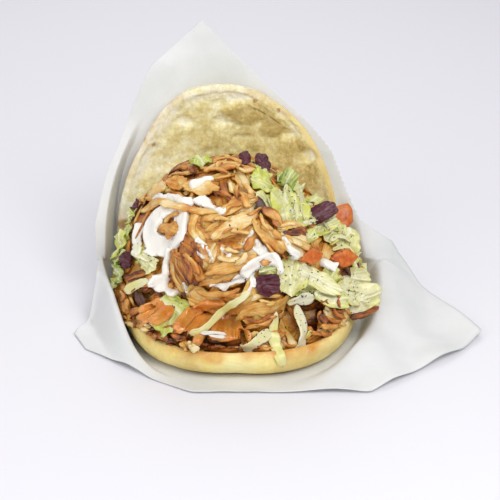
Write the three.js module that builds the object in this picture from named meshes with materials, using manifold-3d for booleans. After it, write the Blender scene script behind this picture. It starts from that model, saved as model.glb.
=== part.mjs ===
// A doner kebab: a round flatbread opened like a shell, heaped with sliced chicken, salad and sauces, lying in
// the paper it was served in. Millimetres, +Z up. The open mouth faces -Y, and the origin is on the paper's
// flat underside, below the bread's lower half.
import * as THREE from "three";
import Module from "manifold-3d";

const wasm = await Module();
wasm.setup();

const rad = THREE.MathUtils.degToRad;
const { clamp, lerp, smoothstep } = THREE.MathUtils;
const point = (x, y, z) => new THREE.Vector3(x, y, z);

// Driving sizes. GAP keeps neighbouring solids apart.
const GAP = 0.35;
const BREAD = {
  lowerHalfWidth: 88,
  upperHalfWidth: 83,
  lowerReach: 149.5, // from the middle of the fold to the front lip, along the bread
  upperReach: 142, // from the middle of the fold to the top of the raised half
  lowerSquare: 2.5, // how square the outline is; 2 is an ellipse
  upperSquare: 2.35,
  thickness: 6,
  lowerLip: 18, // height of the turned-up edge
  upperLip: 13.5,
  lipReach: 12.5, // how far in from the edge the turn begins
  overturn: rad(112), // how far the edge turns round
  rimBulge: 0.35, // how far the rim's end rounds out, as a share of the thickness
  dome: 6, // how far the raised half bulges backwards
};
const PAPER = { thickness: 0.8, leftWall: 32, rightRidge: 27 };
const FOLD = { centreY: 40, radius: 29, angle: rad(78) };
const HEAP = { centre: point(0, 20, 31), radius: 81, foot: 25, sides: 26 };

// The way the mouth between the two halves faces.
const MOUTH = point(0, -0.64, 0.77);

// Where toppings lie is given as [right, up] in millimetres from the middle of the view that shows the
// mouth, looking down on it from the front. VIEW holds that view's middle, height angle and distance.
const VIEW = { middle: point(11, 9, 50), height: rad(25), distance: 1080 };

// A seeded random number generator, the same on every run.
function seeded(seed) {
  let state = seed;
  return () => {
    state = (state + 0x6d2b79f5) | 0;
    let t = Math.imul(state ^ (state >>> 15), 1 | state);
    t = (t + Math.imul(t ^ (t >>> 7), 61 | t)) ^ t;
    return ((t ^ (t >>> 14)) >>> 0) / 4294967296;
  };
}

// Directions on the flat sheet that bread and paper are built along. One points at the paper's top corner.
const TOP_CORNER = rad(93.3);
const SPOKES = Array.from({ length: 48 }, (_, i) => TOP_CORNER + (i / 48) * 2 * Math.PI);
const FLAT_RUNS = [0.25, 0.5, 0.76, 1];
const BREAD_RUNS = [...FLAT_RUNS, 1.3, 1.65, 2];

// Bread and paper start as flat sheets: x runs across, q along from the front, and h is the height above
// the sheet. This sways the sheet's middle line, bends it up round the fold and gives the point in space.
function folded(x, q, h) {
  const half = (FOLD.radius * FOLD.angle) / 2;
  const turn = clamp((q + half) / FOLD.radius, 0, FOLD.angle);
  const beyond = q < -half ? q + half : Math.max(q - half, 0);
  const sway = lerp(5.5, -5.5, smoothstep(q, -110, 54)) - 7 * smoothstep(q, 95, 153);
  return point(
    x + sway,
    FOLD.centreY + FOLD.radius * Math.sin(turn) + beyond * Math.cos(turn) - h * Math.sin(turn),
    FOLD.radius * (1 - Math.cos(turn)) + beyond * Math.sin(turn) + h * Math.cos(turn),
  );
}

// A closed solid from vertices and faces, turned right side out.
function solidOf(points, faces) {
  const vertProperties = new Float32Array(points.length * 3);
  points.forEach((p, i) => p.toArray(vertProperties, i * 3));
  let volume = 0;
  for (const [a, b, c] of faces) {
    volume += points[a].dot(points[b].clone().cross(points[c]));
  }
  const outwards = faces.map(([a, b, c]) => (volume < 0 ? [a, c, b] : [a, b, c]));
  const triVerts = new Uint32Array(outwards.flat());
  return new wasm.Manifold(new wasm.Mesh({ numProp: 3, vertProperties, triVerts }));
}

// A closed solid from rings of points between two end points.
function ringSolid(first, rings, last) {
  const n = rings[0].length;
  const points = [first, ...rings.flat(), last];
  const faces = [];
  const at = (ring, i) => 1 + ring * n + (i % n);
  for (let i = 0; i < n; i++) {
    faces.push([0, at(0, i + 1), at(0, i)]);
    for (let r = 0; r + 1 < rings.length; r++) {
      faces.push([at(r, i), at(r, i + 1), at(r + 1, i + 1)], [at(r, i), at(r + 1, i + 1), at(r + 1, i)]);
    }
    faces.push([at(rings.length - 1, i), at(rings.length - 1, i + 1), points.length - 1]);
  }
  return solidOf(points, faces);
}

// A thin solid from two grids of points, an upper and a lower face split into triangles alike.
function sheetSolid(upper, lower) {
  const rows = upper.length;
  const columns = upper[0].length;
  const points = [...upper.flat(), ...lower.flat()];
  const faces = [];
  const top = (j, i) => j * columns + i;
  const under = (j, i) => rows * columns + top(j, i);
  for (let j = 0; j + 1 < rows; j++) {
    for (let i = 0; i + 1 < columns; i++) {
      faces.push([top(j, i), top(j, i + 1), top(j + 1, i + 1)]);
      faces.push([top(j, i), top(j + 1, i + 1), top(j + 1, i)]);
      faces.push([under(j, i), under(j + 1, i + 1), under(j, i + 1)]);
      faces.push([under(j, i), under(j + 1, i), under(j + 1, i + 1)]);
    }
  }
  const edge = (a, b, c, d) => faces.push([a, c, d], [a, d, b]);
  for (let i = 0; i + 1 < columns; i++) {
    edge(top(0, i), top(0, i + 1), under(0, i), under(0, i + 1));
    edge(top(rows - 1, i + 1), top(rows - 1, i), under(rows - 1, i + 1), under(rows - 1, i));
  }
  for (let j = 0; j + 1 < rows; j++) {
    edge(top(j + 1, 0), top(j, 0), under(j + 1, 0), under(j, 0));
    edge(top(j, columns - 1), top(j + 1, columns - 1), under(j, columns - 1), under(j + 1, columns - 1));
  }
  return solidOf(points, faces);
}

// The largest closed body of a solid, without loose scraps.
function largest(solid) {
  return solid.decompose().reduce((best, body) => (body.volume() > best.volume() ? body : best));
}

// Flatbread

// Distance from the middle of the flat sheet to the bread's outline, in the direction given by an angle.
function breadReach(angle) {
  const upward = smoothstep(Math.sin(angle), -0.35, 0.35);
  const halfWidth = lerp(BREAD.lowerHalfWidth, BREAD.upperHalfWidth, upward);
  const along = Math.sin(angle) > 0 ? BREAD.upperReach : BREAD.lowerReach;
  const square = lerp(BREAD.lowerSquare, BREAD.upperSquare, upward);
  const across = Math.abs(Math.cos(angle)) / halfWidth;
  const round = (across ** square + (Math.abs(Math.sin(angle)) / along) ** square) ** (-1 / square);
  return round * (1 + 0.008 * Math.cos(3 * angle + 0.6) + 0.006 * Math.cos(7 * angle + 2));
}

// How far the raised half bulges backwards at a place on the sheet.
function dome(x, q) {
  return -BREAD.dome * Math.exp(-((x / 54) ** 2) - ((q - 81) / 43) ** 2) * smoothstep(q, -15, 25);
}

// Uneven torn crumb on the inside.
function crumb(x, q) {
  const broad = Math.sin(x * 0.12 + 1.3) * Math.sin(q * 0.1 + 0.4);
  const fine = Math.sin(x * 0.3 + q * 0.14) * Math.sin(q * 0.34 - x * 0.09 + 2);
  return 0.8 * broad + 0.6 * fine;
}

// A point on the bread: the outer crust at depth 0, the inner crumb at depth 1. run goes from 0 at the
// middle of the sheet to 1 where the edge begins to turn, and from there to 2 at the lip.
function breadPoint(angle, run, depth, grow) {
  const reach = breadReach(angle);
  const upward = smoothstep(Math.sin(angle), -0.2, 0.5);
  const lip = lerp(BREAD.lowerLip, BREAD.upperLip, upward) / (1 - Math.cos(BREAD.overturn));
  const turn = Math.max(run - 1, 0) * BREAD.overturn;
  const inwards = depth ? BREAD.thickness + grow : -grow;
  const r = (reach - BREAD.lipReach) * Math.min(run, 1) + (BREAD.lipReach - inwards) * Math.sin(turn);
  const x = r * Math.cos(angle);
  const q = r * Math.sin(angle);
  const rough = depth ? crumb(x, q) * (1 - turn / BREAD.overturn) : 0;
  const crust = PAPER.thickness + 0.6 + lip * (1 - Math.cos(turn));
  return folded(x, q, crust + inwards * Math.cos(turn) + rough + dome(x, q));
}

function breadRing(run, depth, grow) {
  return SPOKES.map((angle) => breadPoint(angle, run, depth, grow));
}

// The bread, or with grow the same bread with every surface moved out by that much.
function bread(grow = 0) {
  const outer = BREAD_RUNS.map((run) => breadRing(run, 0, grow));
  const inner = [...BREAD_RUNS].reverse().map((run) => breadRing(run, 1, grow));
  const rim = outer.at(-1).map((p, i) => {
    const onward = p.clone().sub(outer.at(-2)[i]).setLength(BREAD.thickness * BREAD.rimBulge + grow);
    return p.clone().lerp(inner[0][i], 0.5).add(onward);
  });
  return ringSolid(breadPoint(0, 0, 0, grow), [...outer, rim, ...inner], breadPoint(0, 0, 1, grow));
}

// The space inside the bread and in front of its mouth, GAP clear of it, which the heap is cut to.
function pocket() {
  const inner = BREAD_RUNS.map((run) => breadRing(run, 1, GAP));
  const middle = point(0, 0, 72);
  const flare = (out, forward) =>
    inner.at(-1).map((p) => {
      const away = p.clone().sub(middle);
      away.addScaledVector(MOUTH, -away.dot(MOUTH)).setLength(out);
      return p.clone().add(away).addScaledVector(MOUTH, forward);
    });
  const rings = [...inner, flare(0.1, 4), flare(8, 9), flare(20, 27), flare(27, 126)];
  return ringSolid(breadPoint(0, 0, 1, GAP), rings, middle.clone().addScaledVector(MOUTH, 198));
}

// Paper

// The paper's corners on the flat sheet, as [across, along], anticlockwise from the front.
const PAPER_CORNERS = [
  [-32, -162],
  [83, -162],
  [108, -142],
  [149, -106],
  [166, -83],
  [155, -56],
  [142, -27],
  [131, 4],
  [119, 29],
  [96, 45],
  [87, 63],
  [76, 92],
  [59, 115],
  [-11, 187],
  [-47, 155],
  [-72, 112],
  [-86, 81],
  [-94, 45],
  [-95, -18],
  [-99, -54],
  [-115, -81],
  [-106, -103],
  [-59, -144],
];

// Distance from the middle of the flat sheet to the paper's edge, in the direction given by an angle.
function paperReach(angle) {
  const [c, s] = [Math.cos(angle), Math.sin(angle)];
  const crossings = PAPER_CORNERS.map(([x0, q0], i) => {
    const [x1, q1] = PAPER_CORNERS[(i + 1) % PAPER_CORNERS.length];
    const side0 = c * q0 - s * x0;
    const side1 = c * q1 - s * x1;
    const share = side0 / (side0 - side1);
    const distance = c * lerp(x0, x1, share) + s * lerp(q0, q1, share);
    return side0 * side1 <= 0 && side0 !== side1 && distance > 0 ? distance : 0;
  });
  return Math.max(...crossings);
}

// Height of the paper above its flat sheet: a wall on the left, a loose ridge on the right, and slack folds
// behind the raised half.
function paperHeight(x, q) {
  const outside = Math.hypot(x, q) - breadReach(Math.atan2(q, x));
  const onLeft = smoothstep(-x, 14, 58);
  const leftTop = PAPER.leftWall * smoothstep(q, -148, -72) * (1 - smoothstep(q, 45, 122)) * onLeft;
  const leftWall = leftTop * smoothstep(outside, 1.5, 7);
  const leftFall = -leftTop * smoothstep(outside, 8, 22) * (1 - smoothstep(q, -68, -45));
  const onRight = smoothstep(x, 14, 58);
  const rightTop = PAPER.rightRidge * lerp(0.5, 1, smoothstep(q, -108, 0)) * onRight;
  const rightEnds = smoothstep(q, -160, -117) * (1 - smoothstep(q, 22, 68));
  const rightWall = rightTop * rightEnds * smoothstep(outside, 1.5, 16);
  const rightFall = -0.95 * rightWall * smoothstep(outside, 18, 52);
  const free = smoothstep(outside, 7, 36) * (1 - smoothstep(q, -18, 27));
  const creases = 1.3 * free * (1 + Math.sin(x * 0.12 + q * 0.07));
  const behind = smoothstep(q, 27, 72);
  const slack = behind * (1.1 * Math.sin(x * 0.07 + q * 0.04) - 1.5 - 4.5 * smoothstep(q, 117, 185));
  return leftWall + leftFall + rightWall + rightFall + creases + slack + dome(x, q);
}

// A point of the paper's underside.
function paperPoint(angle, r) {
  const x = r * Math.cos(angle);
  const q = r * Math.sin(angle);
  return folded(x, q, paperHeight(x, q));
}

// The way the paper's upper face looks at a point, from points a little to each side.
function paperNormal(angle, r) {
  const outward = paperPoint(angle, r + 0.5).sub(paperPoint(angle, Math.max(r - 0.5, 0)));
  const turned = 0.5 / Math.max(r, 1);
  const round = paperPoint(angle + turned, r).sub(paperPoint(angle - turned, r));
  return outward.cross(round).normalize();
}

// The paper, or with grow the same paper made that much thicker on both faces.
function paper(grow = 0) {
  const outsides = [0.8, 3, 5.5, 10, 19, 34];
  const ringOf = (radiusOf, side) =>
    SPOKES.map((angle) => {
      const r = radiusOf(angle);
      return paperPoint(angle, r).addScaledVector(paperNormal(angle, r), side);
    });
  const radii = [
    ...FLAT_RUNS.map((run) => (angle) => run * (breadReach(angle) - BREAD.lipReach)),
    ...outsides.map((outside, k) => (angle) => {
      const spare = paperReach(angle) - breadReach(angle);
      return breadReach(angle) + Math.min(outside, (spare * (k + 1)) / (outsides.length + 1));
    }),
    paperReach,
  ];
  const middle = paperPoint(TOP_CORNER, 0);
  const normal = paperNormal(TOP_CORNER, 0);
  const under = radii.map((radiusOf) => ringOf(radiusOf, -grow));
  const above = [...radii].reverse().map((radiusOf) => ringOf(radiusOf, PAPER.thickness + grow));
  const lowest = middle.clone().addScaledVector(normal, -grow);
  return ringSolid(lowest, [...under, ...above], middle.addScaledVector(normal, PAPER.thickness + grow));
}

// The heap's surface

// A direction from the heap's centre: bearing 0 faces the front and 90 the right; rise is above level.
function heading(bearing, rise) {
  const [b, r] = [rad(bearing), rad(rise)];
  return point(Math.cos(r) * Math.sin(b), -Math.cos(r) * Math.cos(b), Math.sin(r));
}

// Broad swells and hollows of the heap: bearing, rise, height in millimetres, and how narrow each one is.
const SWELLS = [
  [-4, 34, 7, 9], // the mound of chicken in the middle
  [0, 2, -6, 14], // the hollow under the mound
  [62, 16, 7, 9], // the salad on the right
  [80, -2, 15, 13], // and where it spills over the rim
  [-76, 4, 7, 10], // the salad spilling out on the left
  [50, 48, 3.5, 9],
  [-20, 78, 2, 9],
].map(([bearing, rise, height, sharpness]) => ({ to: heading(bearing, rise), height, sharpness }));

// Distance from the heap's centre to its surface. Low down it spreads forwards to the bread's lip.
function heapRadius(direction) {
  const foot = HEAP.foot * Math.max(-direction.y, 0) * smoothstep(-direction.z, 0.02, 0.15);
  return SWELLS.reduce(
    (sum, s) => sum + s.height * Math.exp(s.sharpness * (direction.dot(s.to) - 1)),
    HEAP.radius + foot,
  );
}

// The point on the heap in a direction from its centre, lifted off the surface.
function onHeap(direction, lift = 0) {
  return HEAP.centre.clone().addScaledVector(direction, heapRadius(direction) + lift);
}

const outwardFrom = (p) => p.clone().sub(HEAP.centre).normalize();

// The direction from the heap's centre to the place that the view shows at [right, up].
function seen([right, up]) {
  const back = point(0, -Math.cos(VIEW.height), Math.sin(VIEW.height));
  const above = point(0, Math.sin(VIEW.height), Math.cos(VIEW.height));
  const eye = VIEW.middle.clone().addScaledVector(back, VIEW.distance);
  const aim = VIEW.middle.clone().addScaledVector(above, up).add(point(right, 0, 0)).sub(eye).normalize();
  const depthOf = (t) => {
    const p = eye.clone().addScaledVector(aim, t);
    return p.distanceTo(HEAP.centre) - heapRadius(outwardFrom(p));
  };
  const nearest = HEAP.centre.clone().sub(eye).dot(aim);
  let [near, far] = [nearest - 180, nearest];
  while (depthOf(near + 2) > 0 && near < far) near += 2;
  far = Math.min(near + 2, far);
  for (let i = 0; i < 20; i++) {
    const middle = (near + far) / 2;
    if (depthOf(middle) > 0) near = middle;
    else far = middle;
  }
  return outwardFrom(eye.addScaledVector(aim, near));
}

// The bare heap, cut to the space inside the bread.
function heapCore(space) {
  const rises = [-80, -60, -42, -28, -18, -12, -8, -4, 0, 8, 18, 30, 42, 55, 68, 80];
  const ringAt = (rise) =>
    Array.from({ length: HEAP.sides }, (_, i) => onHeap(heading((i / HEAP.sides) * 360, rise)));
  const rings = rises.map(ringAt);
  return ringSolid(onHeap(heading(0, -90)), rings, onHeap(heading(0, 90))).intersect(space);
}

// Toppings

// A band with a flattened round section that follows places on the heap: sliced meat, a shred of cabbage, a
// run of sauce. path lists [right, up] places or points in space; width is one size or a list along the path,
// and blunt is the share of it that is left at the ends.
function band({ path, width, thick, lift = 0.5, sides = 6, step = 7, blunt = 0.55 }, grow = 0) {
  const fill = 1 / Math.cos(Math.PI / sides);
  const stops = path.map((place) => (place.isVector3 ? place : onHeap(seen(place))));
  const curve = new THREE.CatmullRomCurve3(stops, false, "centripetal");
  const free = path.some((place) => place.isVector3);
  const count = Math.max(2, Math.round(curve.getLength() / step));
  const widths = [width].flat();
  const station = (t) => {
    const raw = curve.getPoint(clamp(t, 0, 1));
    const base = free ? raw : onHeap(outwardFrom(raw));
    const out = outwardFrom(base);
    const along = curve.getTangent(clamp(t, 0, 1));
    const side = along.clone().cross(out).normalize();
    const place = t * (widths.length - 1);
    const k = Math.min(Math.floor(place), widths.length - 2);
    const wide = widths.length === 1 ? widths[0] : lerp(widths[k], widths[k + 1], place - k);
    return { base, out, side, along, wide };
  };
  const rings = Array.from({ length: count + 1 }, (_, k) => {
    const { base, out, side, wide } = station(k / count);
    const taper = k === 0 || k === count ? blunt : 1;
    return Array.from({ length: sides }, (_, i) => {
      const angle = ((i + 0.5) / sides) * 2 * Math.PI;
      const across = ((wide / 2) * taper + grow) * fill * Math.cos(angle);
      const up = lift + thick / 2 + (thick / 2 + grow) * fill * Math.sin(angle);
      return base.clone().addScaledVector(side, across).addScaledVector(out, up);
    });
  });
  const end = (t, sign) => {
    const { base, out, along, wide } = station(t);
    const tip = base.clone().addScaledVector(out, lift + thick / 2);
    return tip.addScaledVector(along, sign * (wide * 0.2 + grow));
  };
  return ringSolid(end(0, -1), rings, end(1, 1));
}

// A local map of the heap's surface round one place: a and b are millimetres along and across it.
function placeOn(at, turn) {
  const middle = at.isVector3 ? at : seen(at);
  const level = point(-middle.y, middle.x, 0).normalize();
  const up = middle.clone().cross(level);
  const [c, s] = [Math.cos(rad(turn)), Math.sin(rad(turn))];
  const along = level.clone().multiplyScalar(c).addScaledVector(up, s);
  const over = up.clone().multiplyScalar(c).addScaledVector(level, -s);
  const scale = 1 / heapRadius(middle);
  return (a, b, lift) => {
    const direction = middle.clone().addScaledVector(along, a * scale).addScaledVector(over, b * scale);
    return onHeap(direction.normalize(), lift);
  };
}

// A wavy leaf lying on the heap, ruffled towards its far edge.
function leaf({ at, turn = 0, length, width, wave = 2.7, thick = 1.2, lift = 0.6, curl = 0 }, grow = 0) {
  const place = placeOn(at, turn);
  const phase = length + width;
  const rows = Math.max(4, Math.round(width / 5.5) + 1);
  const columns = Math.max(4, Math.round(length / 5.5) + 1);
  const face = (side) =>
    Array.from({ length: rows }, (_, j) =>
      Array.from({ length: columns }, (_, i) => {
        const u = (i / (columns - 1)) * 2 - 1;
        const v = (j / (rows - 1)) * 2 - 1;
        const round = Math.sqrt(1 - 0.5 * u * u) * (1 + 0.12 * Math.sin(5 * u + phase));
        const ruffle = wave * (0.5 + 0.5 * Math.sin(5.5 * u + 2.2 * v + phase)) * (0.4 + 0.6 * Math.abs(v));
        const a = u * (length / 2 + grow) * Math.sqrt(1 - 0.4 * v * v);
        return place(a, v * round * (width / 2 + grow), lift + ruffle + curl * u * u + side);
      }),
    );
  return sheetSolid(face(thick + grow), face(-grow));
}

// A chunk with flat cut sides and soft edges: diced tomato, thick red cabbage.
function chunk({ at, turn = 0, length, width, thick, corners = 5, lift = 0.5 }, grow = 0) {
  const cornerRound = 0.27;
  const place = placeOn(at, turn);
  const levels = [
    [0, 0.82],
    [0.25, 1],
    [0.75, 0.97],
    [1, 0.78],
  ];
  const rings = levels.map(([height, share]) =>
    Array.from({ length: corners * 2 }, (_, i) => {
      const corner = (Math.floor(i / 2) / corners) * 2 * Math.PI + 0.45;
      const angle = corner + (i % 2 ? cornerRound : -cornerRound);
      const uneven = 1 + 0.1 * Math.sin(3 * angle + length);
      const a = Math.cos(angle) * (share * uneven * (length / 2) + grow);
      const b = Math.sin(angle) * (share * uneven * (width / 2) + grow);
      return place(a, b, lift - grow + height * (thick + 2 * grow));
    }),
  );
  return ringSolid(place(0, 0, lift - grow), rings, place(0, 0, lift + thick + grow));
}

const whiteSauce = {
  white_sauce_pool: {
    width: 10,
    thick: 3,
    path: [[-46, 26], [-51, 28], [-59, 29], [-68, 23], [-69, 13], [-64, 3], [-55, 1], [-48, 8], [-46, 18]],
  },
  white_sauce_drip: { width: [4.5, 5, 13.5], thick: 3, path: [[-58, -5], [-58, -13], [-59, -24]] },
  white_sauce_top: { width: 8, thick: 3, path: [[-41, 45], [-29, 50]] },
  white_sauce_streak_1: { width: 4.5, thick: 2, path: [[-55, 37], [-47, 33], [-40, 33]] },
  white_sauce_streak_2: { width: [6.5, 4.5, 2.5], thick: 2, path: [[-36, 35], [-29, 32], [-20, 27]] },
  white_sauce_cup: { width: [5.5, 6.5, 7, 4.5], thick: 2.5, path: [[-2, -15], [3, -9], [11, -5], [21, -10]] },
  white_sauce_right: { width: 7, thick: 2.5, path: [[50, -8], [59, -11]] },
};
const orangeSauce = {
  orange_sauce_left: { width: 14.5, thick: 3.5, path: [[-72, -42], [-60, -41]] },
  orange_sauce_middle: { width: [10, 9, 7], thick: 3, path: [[-46, -44], [-35, -40], [-22, -39]] },
  orange_sauce_front: { width: [7, 11, 7], thick: 3.5, path: [[-34, -52], [-15, -51], [1, -59]] },
};
const lettuce = {
  lettuce_01: { at: [-33, 60], length: 15.5, width: 16 },
  lettuce_02: { at: [10, 44], length: 16, width: 20 },
  lettuce_03: { at: [26, 49], length: 21.5, width: 12.5 },
  lettuce_04: { at: [30, 31], turn: 80, length: 30.5, width: 23.5, wave: 3.5 },
  lettuce_05: { at: [49, 15], turn: -6, length: 29, width: 12.5 },
  lettuce_06: { at: [65, 5], turn: 30, length: 24, width: 20.5, wave: 3.5 },
  lettuce_07: { at: [-81, 22], length: 12.5, width: 13.5 },
  lettuce_08: { at: [-88, 3], turn: 90, length: 23.5, width: 12.5 },
  lettuce_09: { at: [-88, -17], length: 18, width: 14.5 },
  lettuce_10: { at: [-69, -8], turn: -8, length: 23.5, width: 11.5 },
  lettuce_11: { at: [-49, -39], turn: -20, length: 24.5, width: 20, wave: 3.5 },
  lettuce_12: { at: [28, -18], turn: 75, length: 27, width: 18 },
  lettuce_13: { at: [45, -20], turn: -42, length: 32.5, width: 11.5, wave: 2 },
  lettuce_14: { at: [69, -20], turn: -20, length: 29, width: 17, wave: 3.5 },
  lettuce_15: { at: [74, -34], turn: 4, length: 34, width: 20, wave: 4.5 },
};
const shreds = {
  onion_strip: { width: 7.5, thick: 2.5, path: [[-76, 18], [-79, 8], [-80, -3]] },
  cabbage_strip_1: { width: 4.5, thick: 2, path: [[-87, -29], [-79, -25], [-70, -22]] },
  cabbage_strip_2: { width: 6, thick: 2.5, path: [[-38, -51], [-24, -45], [-11, -38], [-1, -29]] },
  cabbage_strip_3: { width: 6.5, thick: 2, path: [[14, -56], [4, -61], [-4, -67]] },
  cabbage_strip_4: { width: 7.5, thick: 2, path: [[32, -41], [33, -55], [34, -67]] },
  cabbage_strip_5: { width: 7, thick: 2, path: [[25, -36], [36, -32], [47, -33]] },
  cabbage_strip_over_lip: {
    width: [4.5, 6.5, 7, 7, 4.5],
    thick: 2,
    path: [[20, -49], [20, -61], point(24, -87.5, 21), point(27, -91.8, 17.5), point(29, -92.2, 13)],
  },
};
const redCabbage = {
  red_cabbage_1: { at: [-4, 61], length: 10, width: 7, thick: 2.5, corners: 4 },
  red_cabbage_2: { at: [8, 58], turn: 20, length: 11.5, width: 8, thick: 2.5 },
  red_cabbage_3: { at: [49, 27], turn: -8, length: 21.5, width: 10, thick: 2.5 },
  red_cabbage_4: { at: [-77, 32], length: 8, width: 7, thick: 2.5, corners: 4 },
  red_cabbage_5: { at: [-86, -4], length: 9, width: 6.5, thick: 2.5, corners: 4 },
  red_cabbage_6: { at: [-92, -38], length: 11, width: 11, thick: 4.5 },
  red_cabbage_7: { at: [10, -23], length: 14.5, width: 11, thick: 2.5, corners: 4 },
};
const tomato = {
  tomato_1: { at: [68, 26], turn: 10, length: 17, width: 16, thick: 7 },
  tomato_2: { at: [40, -4], turn: -8, length: 15.5, width: 10, thick: 5.5, corners: 4 },
  tomato_3: { at: [60, -4], turn: -24, length: 21.5, width: 11.5, thick: 5.5, corners: 4 },
};

// Slices and shreds of chicken that show, each as width, then its path.
const SLICES = [
  [8, [-45, 38], [-35, 41], [-23, 44]],
  [7, [-29, 52], [-20, 57], [-8, 60]],
  [8, [-55, 56], [-41, 51]],
  [8, [-73, 34], [-65, 41], [-58, 47]],
  [5.5, [-35, 16], [-17, 22], [-2, 29]],
  [5.5, [-32, 11], [-15, 15], [0, 22]],
  [5.5, [-26, 4], [-11, 8], [4, 15]],
  [5.5, [-40, 24], [-41, 11], [-34, 3]],
  [7, [-7, 49], [-4, 36]],
  [6.5, [-17, 44], [-8, 35]],
  [6.5, [0, 31], [8, 17], [15, 4]],
  [5.5, [5, 27], [17, 13], [22, 2]],
  [5.5, [8, 31], [20, 27]],
  [8, [22, 13], [34, 8]],
  [6.5, [-7, 1], [-13, -8], [-20, -19]],
  [6.5, [-14, 3], [-22, -7], [-27, -17]],
  [7, [-50, -5], [-51, -15], [-48, -27]],
  [7, [-45, -4], [-43, -15], [-37, -26]],
  [7, [-38, -4], [-34, -14], [-30, -24]],
  [11.5, [-39, -32], [-24, -33], [-5, -32]],
  [11, [-4, -45], [8, -42], [20, -33]],
  [10, [40, -41], [52, -40], [67, -50]],
  [7, [76, -47], [83, -45], [90, -41]],
  [7, [40, -56], [49, -52], [58, -50]],
  [7, [-30, -67], [-17, -64], [-8, -62]],
  [8, [-64, -54], [-52, -56]],
  [9, [-51, -65], [-37, -68]],
  [10, [-86, -34], [-81, -41]],
  [5.5, [-85, -20], [-72, -17]],
  [6.5, [5, -68], [18, -70]],
  [5.5, [2, 14], [-4, 4], [-8, -5]],
];

const SLICE = { thick: 4.2, lift: -1, sides: 4, step: 12 };

// Slices scattered over the rest of the heap, none with its middle near another slice or a topping.
function scatteredSlices(middles) {
  const random = seeded(11);
  const made = [];
  for (let tries = 0; tries < 900 && made.length < 30; tries++) {
    const bearing = lerp(-180, 180, random());
    const rise = lerp(-24, 80, random());
    const turn = random() * Math.PI;
    const length = lerp(13, 24, random());
    const width = lerp(5.5, 9, random());
    const place = placeOn(heading(bearing, rise), 0);
    const middle = place(0, 0, 0);
    if (middles.every((other) => other.distanceTo(middle) > 10)) {
      const [a, b] = [length * Math.cos(turn), length * Math.sin(turn)];
      const path = [-0.5, 0, 0.5].map((k) => place(k * a, k * b, 0));
      middles.push(middle);
      made.push(band({ ...SLICE, path, width }));
    }
  }
  return made;
}

// Fuses the slices to the heap where they lie clear of the toppings.
function slicedHeap(core, toppings) {
  const middles = toppings.map((topping) => {
    const { min, max } = topping.boundingBox();
    return point((min[0] + max[0]) / 2, (min[1] + max[1]) / 2, (min[2] + max[2]) / 2);
  });
  const placed = SLICES.map(([width, ...path]) => {
    middles.push(onHeap(seen(path[Math.floor(path.length / 2)])));
    return band({ ...SLICE, path, width });
  });
  const fused = [...placed, ...scatteredSlices(middles)].reduce((sum, slice) => sum.add(slice), core);
  const clear = toppings.reduce((sum, topping) => sum.subtract(topping), fused);
  return largest(clear.subtract(breadClear).subtract(paperClear));
}

const breadClear = bread(GAP);
const paperClear = paper(GAP);
const space = pocket();
const core = largest(heapCore(space));
const obstacles = [];
const group = new THREE.Group();

// Adds a solid to the group as a named mesh with its own material.
function show(name, solid, colour, roughness) {
  const mesh = solid.getMesh();
  const geometry = new THREE.BufferGeometry();
  geometry.setAttribute("position", new THREE.BufferAttribute(new Float32Array(mesh.vertProperties), 3));
  geometry.setIndex(new THREE.BufferAttribute(new Uint32Array(mesh.triVerts), 1));
  const material = new THREE.MeshStandardMaterial({ color: colour, roughness, metalness: 0 });
  const made = new THREE.Mesh(geometry, material);
  made.name = name;
  group.add(made);
}

// Adds toppings in order, each cut clear of the bare heap, the bread, the paper and the ones before it.
function lay(pieces, shape, colour, roughness) {
  for (const [name, sizes] of Object.entries(pieces)) {
    const bare = shape(sizes).subtract(core).subtract(breadClear).subtract(paperClear);
    const solid = largest(obstacles.reduce((left, other) => left.subtract(other), bare));
    obstacles.push(shape(sizes, GAP));
    show(name, solid, colour, roughness);
  }
}

show("bread", bread(), 0xf0dc96, 0.85);
show("paper", paper(), 0xf4f4f2, 0.55);
lay(whiteSauce, band, 0xf7f5ef, 0.3);
lay(tomato, chunk, 0xc9582f, 0.35);
lay(redCabbage, chunk, 0x4a2240, 0.4);
lay(lettuce, leaf, 0xd2dc86, 0.45);
lay(shreds, band, 0xe6e4b8, 0.45);
lay(orangeSauce, band, 0xdb8a34, 0.35);
show("chicken_heap", slicedHeap(core, obstacles), 0xc08a4a, 0.6);

export default group;
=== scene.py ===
import math

import bmesh
import bpy
import numpy as np
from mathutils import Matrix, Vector
from mathutils.bvhtree import BVHTree


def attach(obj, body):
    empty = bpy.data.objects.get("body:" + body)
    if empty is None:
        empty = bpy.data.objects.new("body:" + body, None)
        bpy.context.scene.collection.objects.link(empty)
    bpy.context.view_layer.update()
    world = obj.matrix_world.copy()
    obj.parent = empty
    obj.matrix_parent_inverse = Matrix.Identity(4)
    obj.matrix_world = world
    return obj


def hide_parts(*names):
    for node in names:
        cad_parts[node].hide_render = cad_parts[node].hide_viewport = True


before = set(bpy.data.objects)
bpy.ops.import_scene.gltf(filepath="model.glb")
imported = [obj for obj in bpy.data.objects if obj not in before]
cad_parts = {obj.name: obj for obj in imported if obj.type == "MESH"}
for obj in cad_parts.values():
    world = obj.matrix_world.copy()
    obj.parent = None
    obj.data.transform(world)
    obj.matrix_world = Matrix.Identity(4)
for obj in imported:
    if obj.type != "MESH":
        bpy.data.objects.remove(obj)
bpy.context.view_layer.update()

# Driving sizes, the same as the solids have
BREAD = {
    "lower_half_width": 88.0,
    "upper_half_width": 83.0,
    "lower_reach": 149.5,
    "upper_reach": 142.0,
    "lower_square": 2.5,
    "upper_square": 2.35,
    "thickness": 6.0,
    "lower_lip": 18.0,
    "upper_lip": 13.5,
    "lip_reach": 12.5,
    "overturn": math.radians(112),
    "rim_bulge": 0.35,
    "dome": 6.0,
    "above_paper": 1.4,
}
PAPER = {"lift": 0.25, "thickness": 0.3, "left_wall": 32.0, "right_ridge": 27.0}
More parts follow.
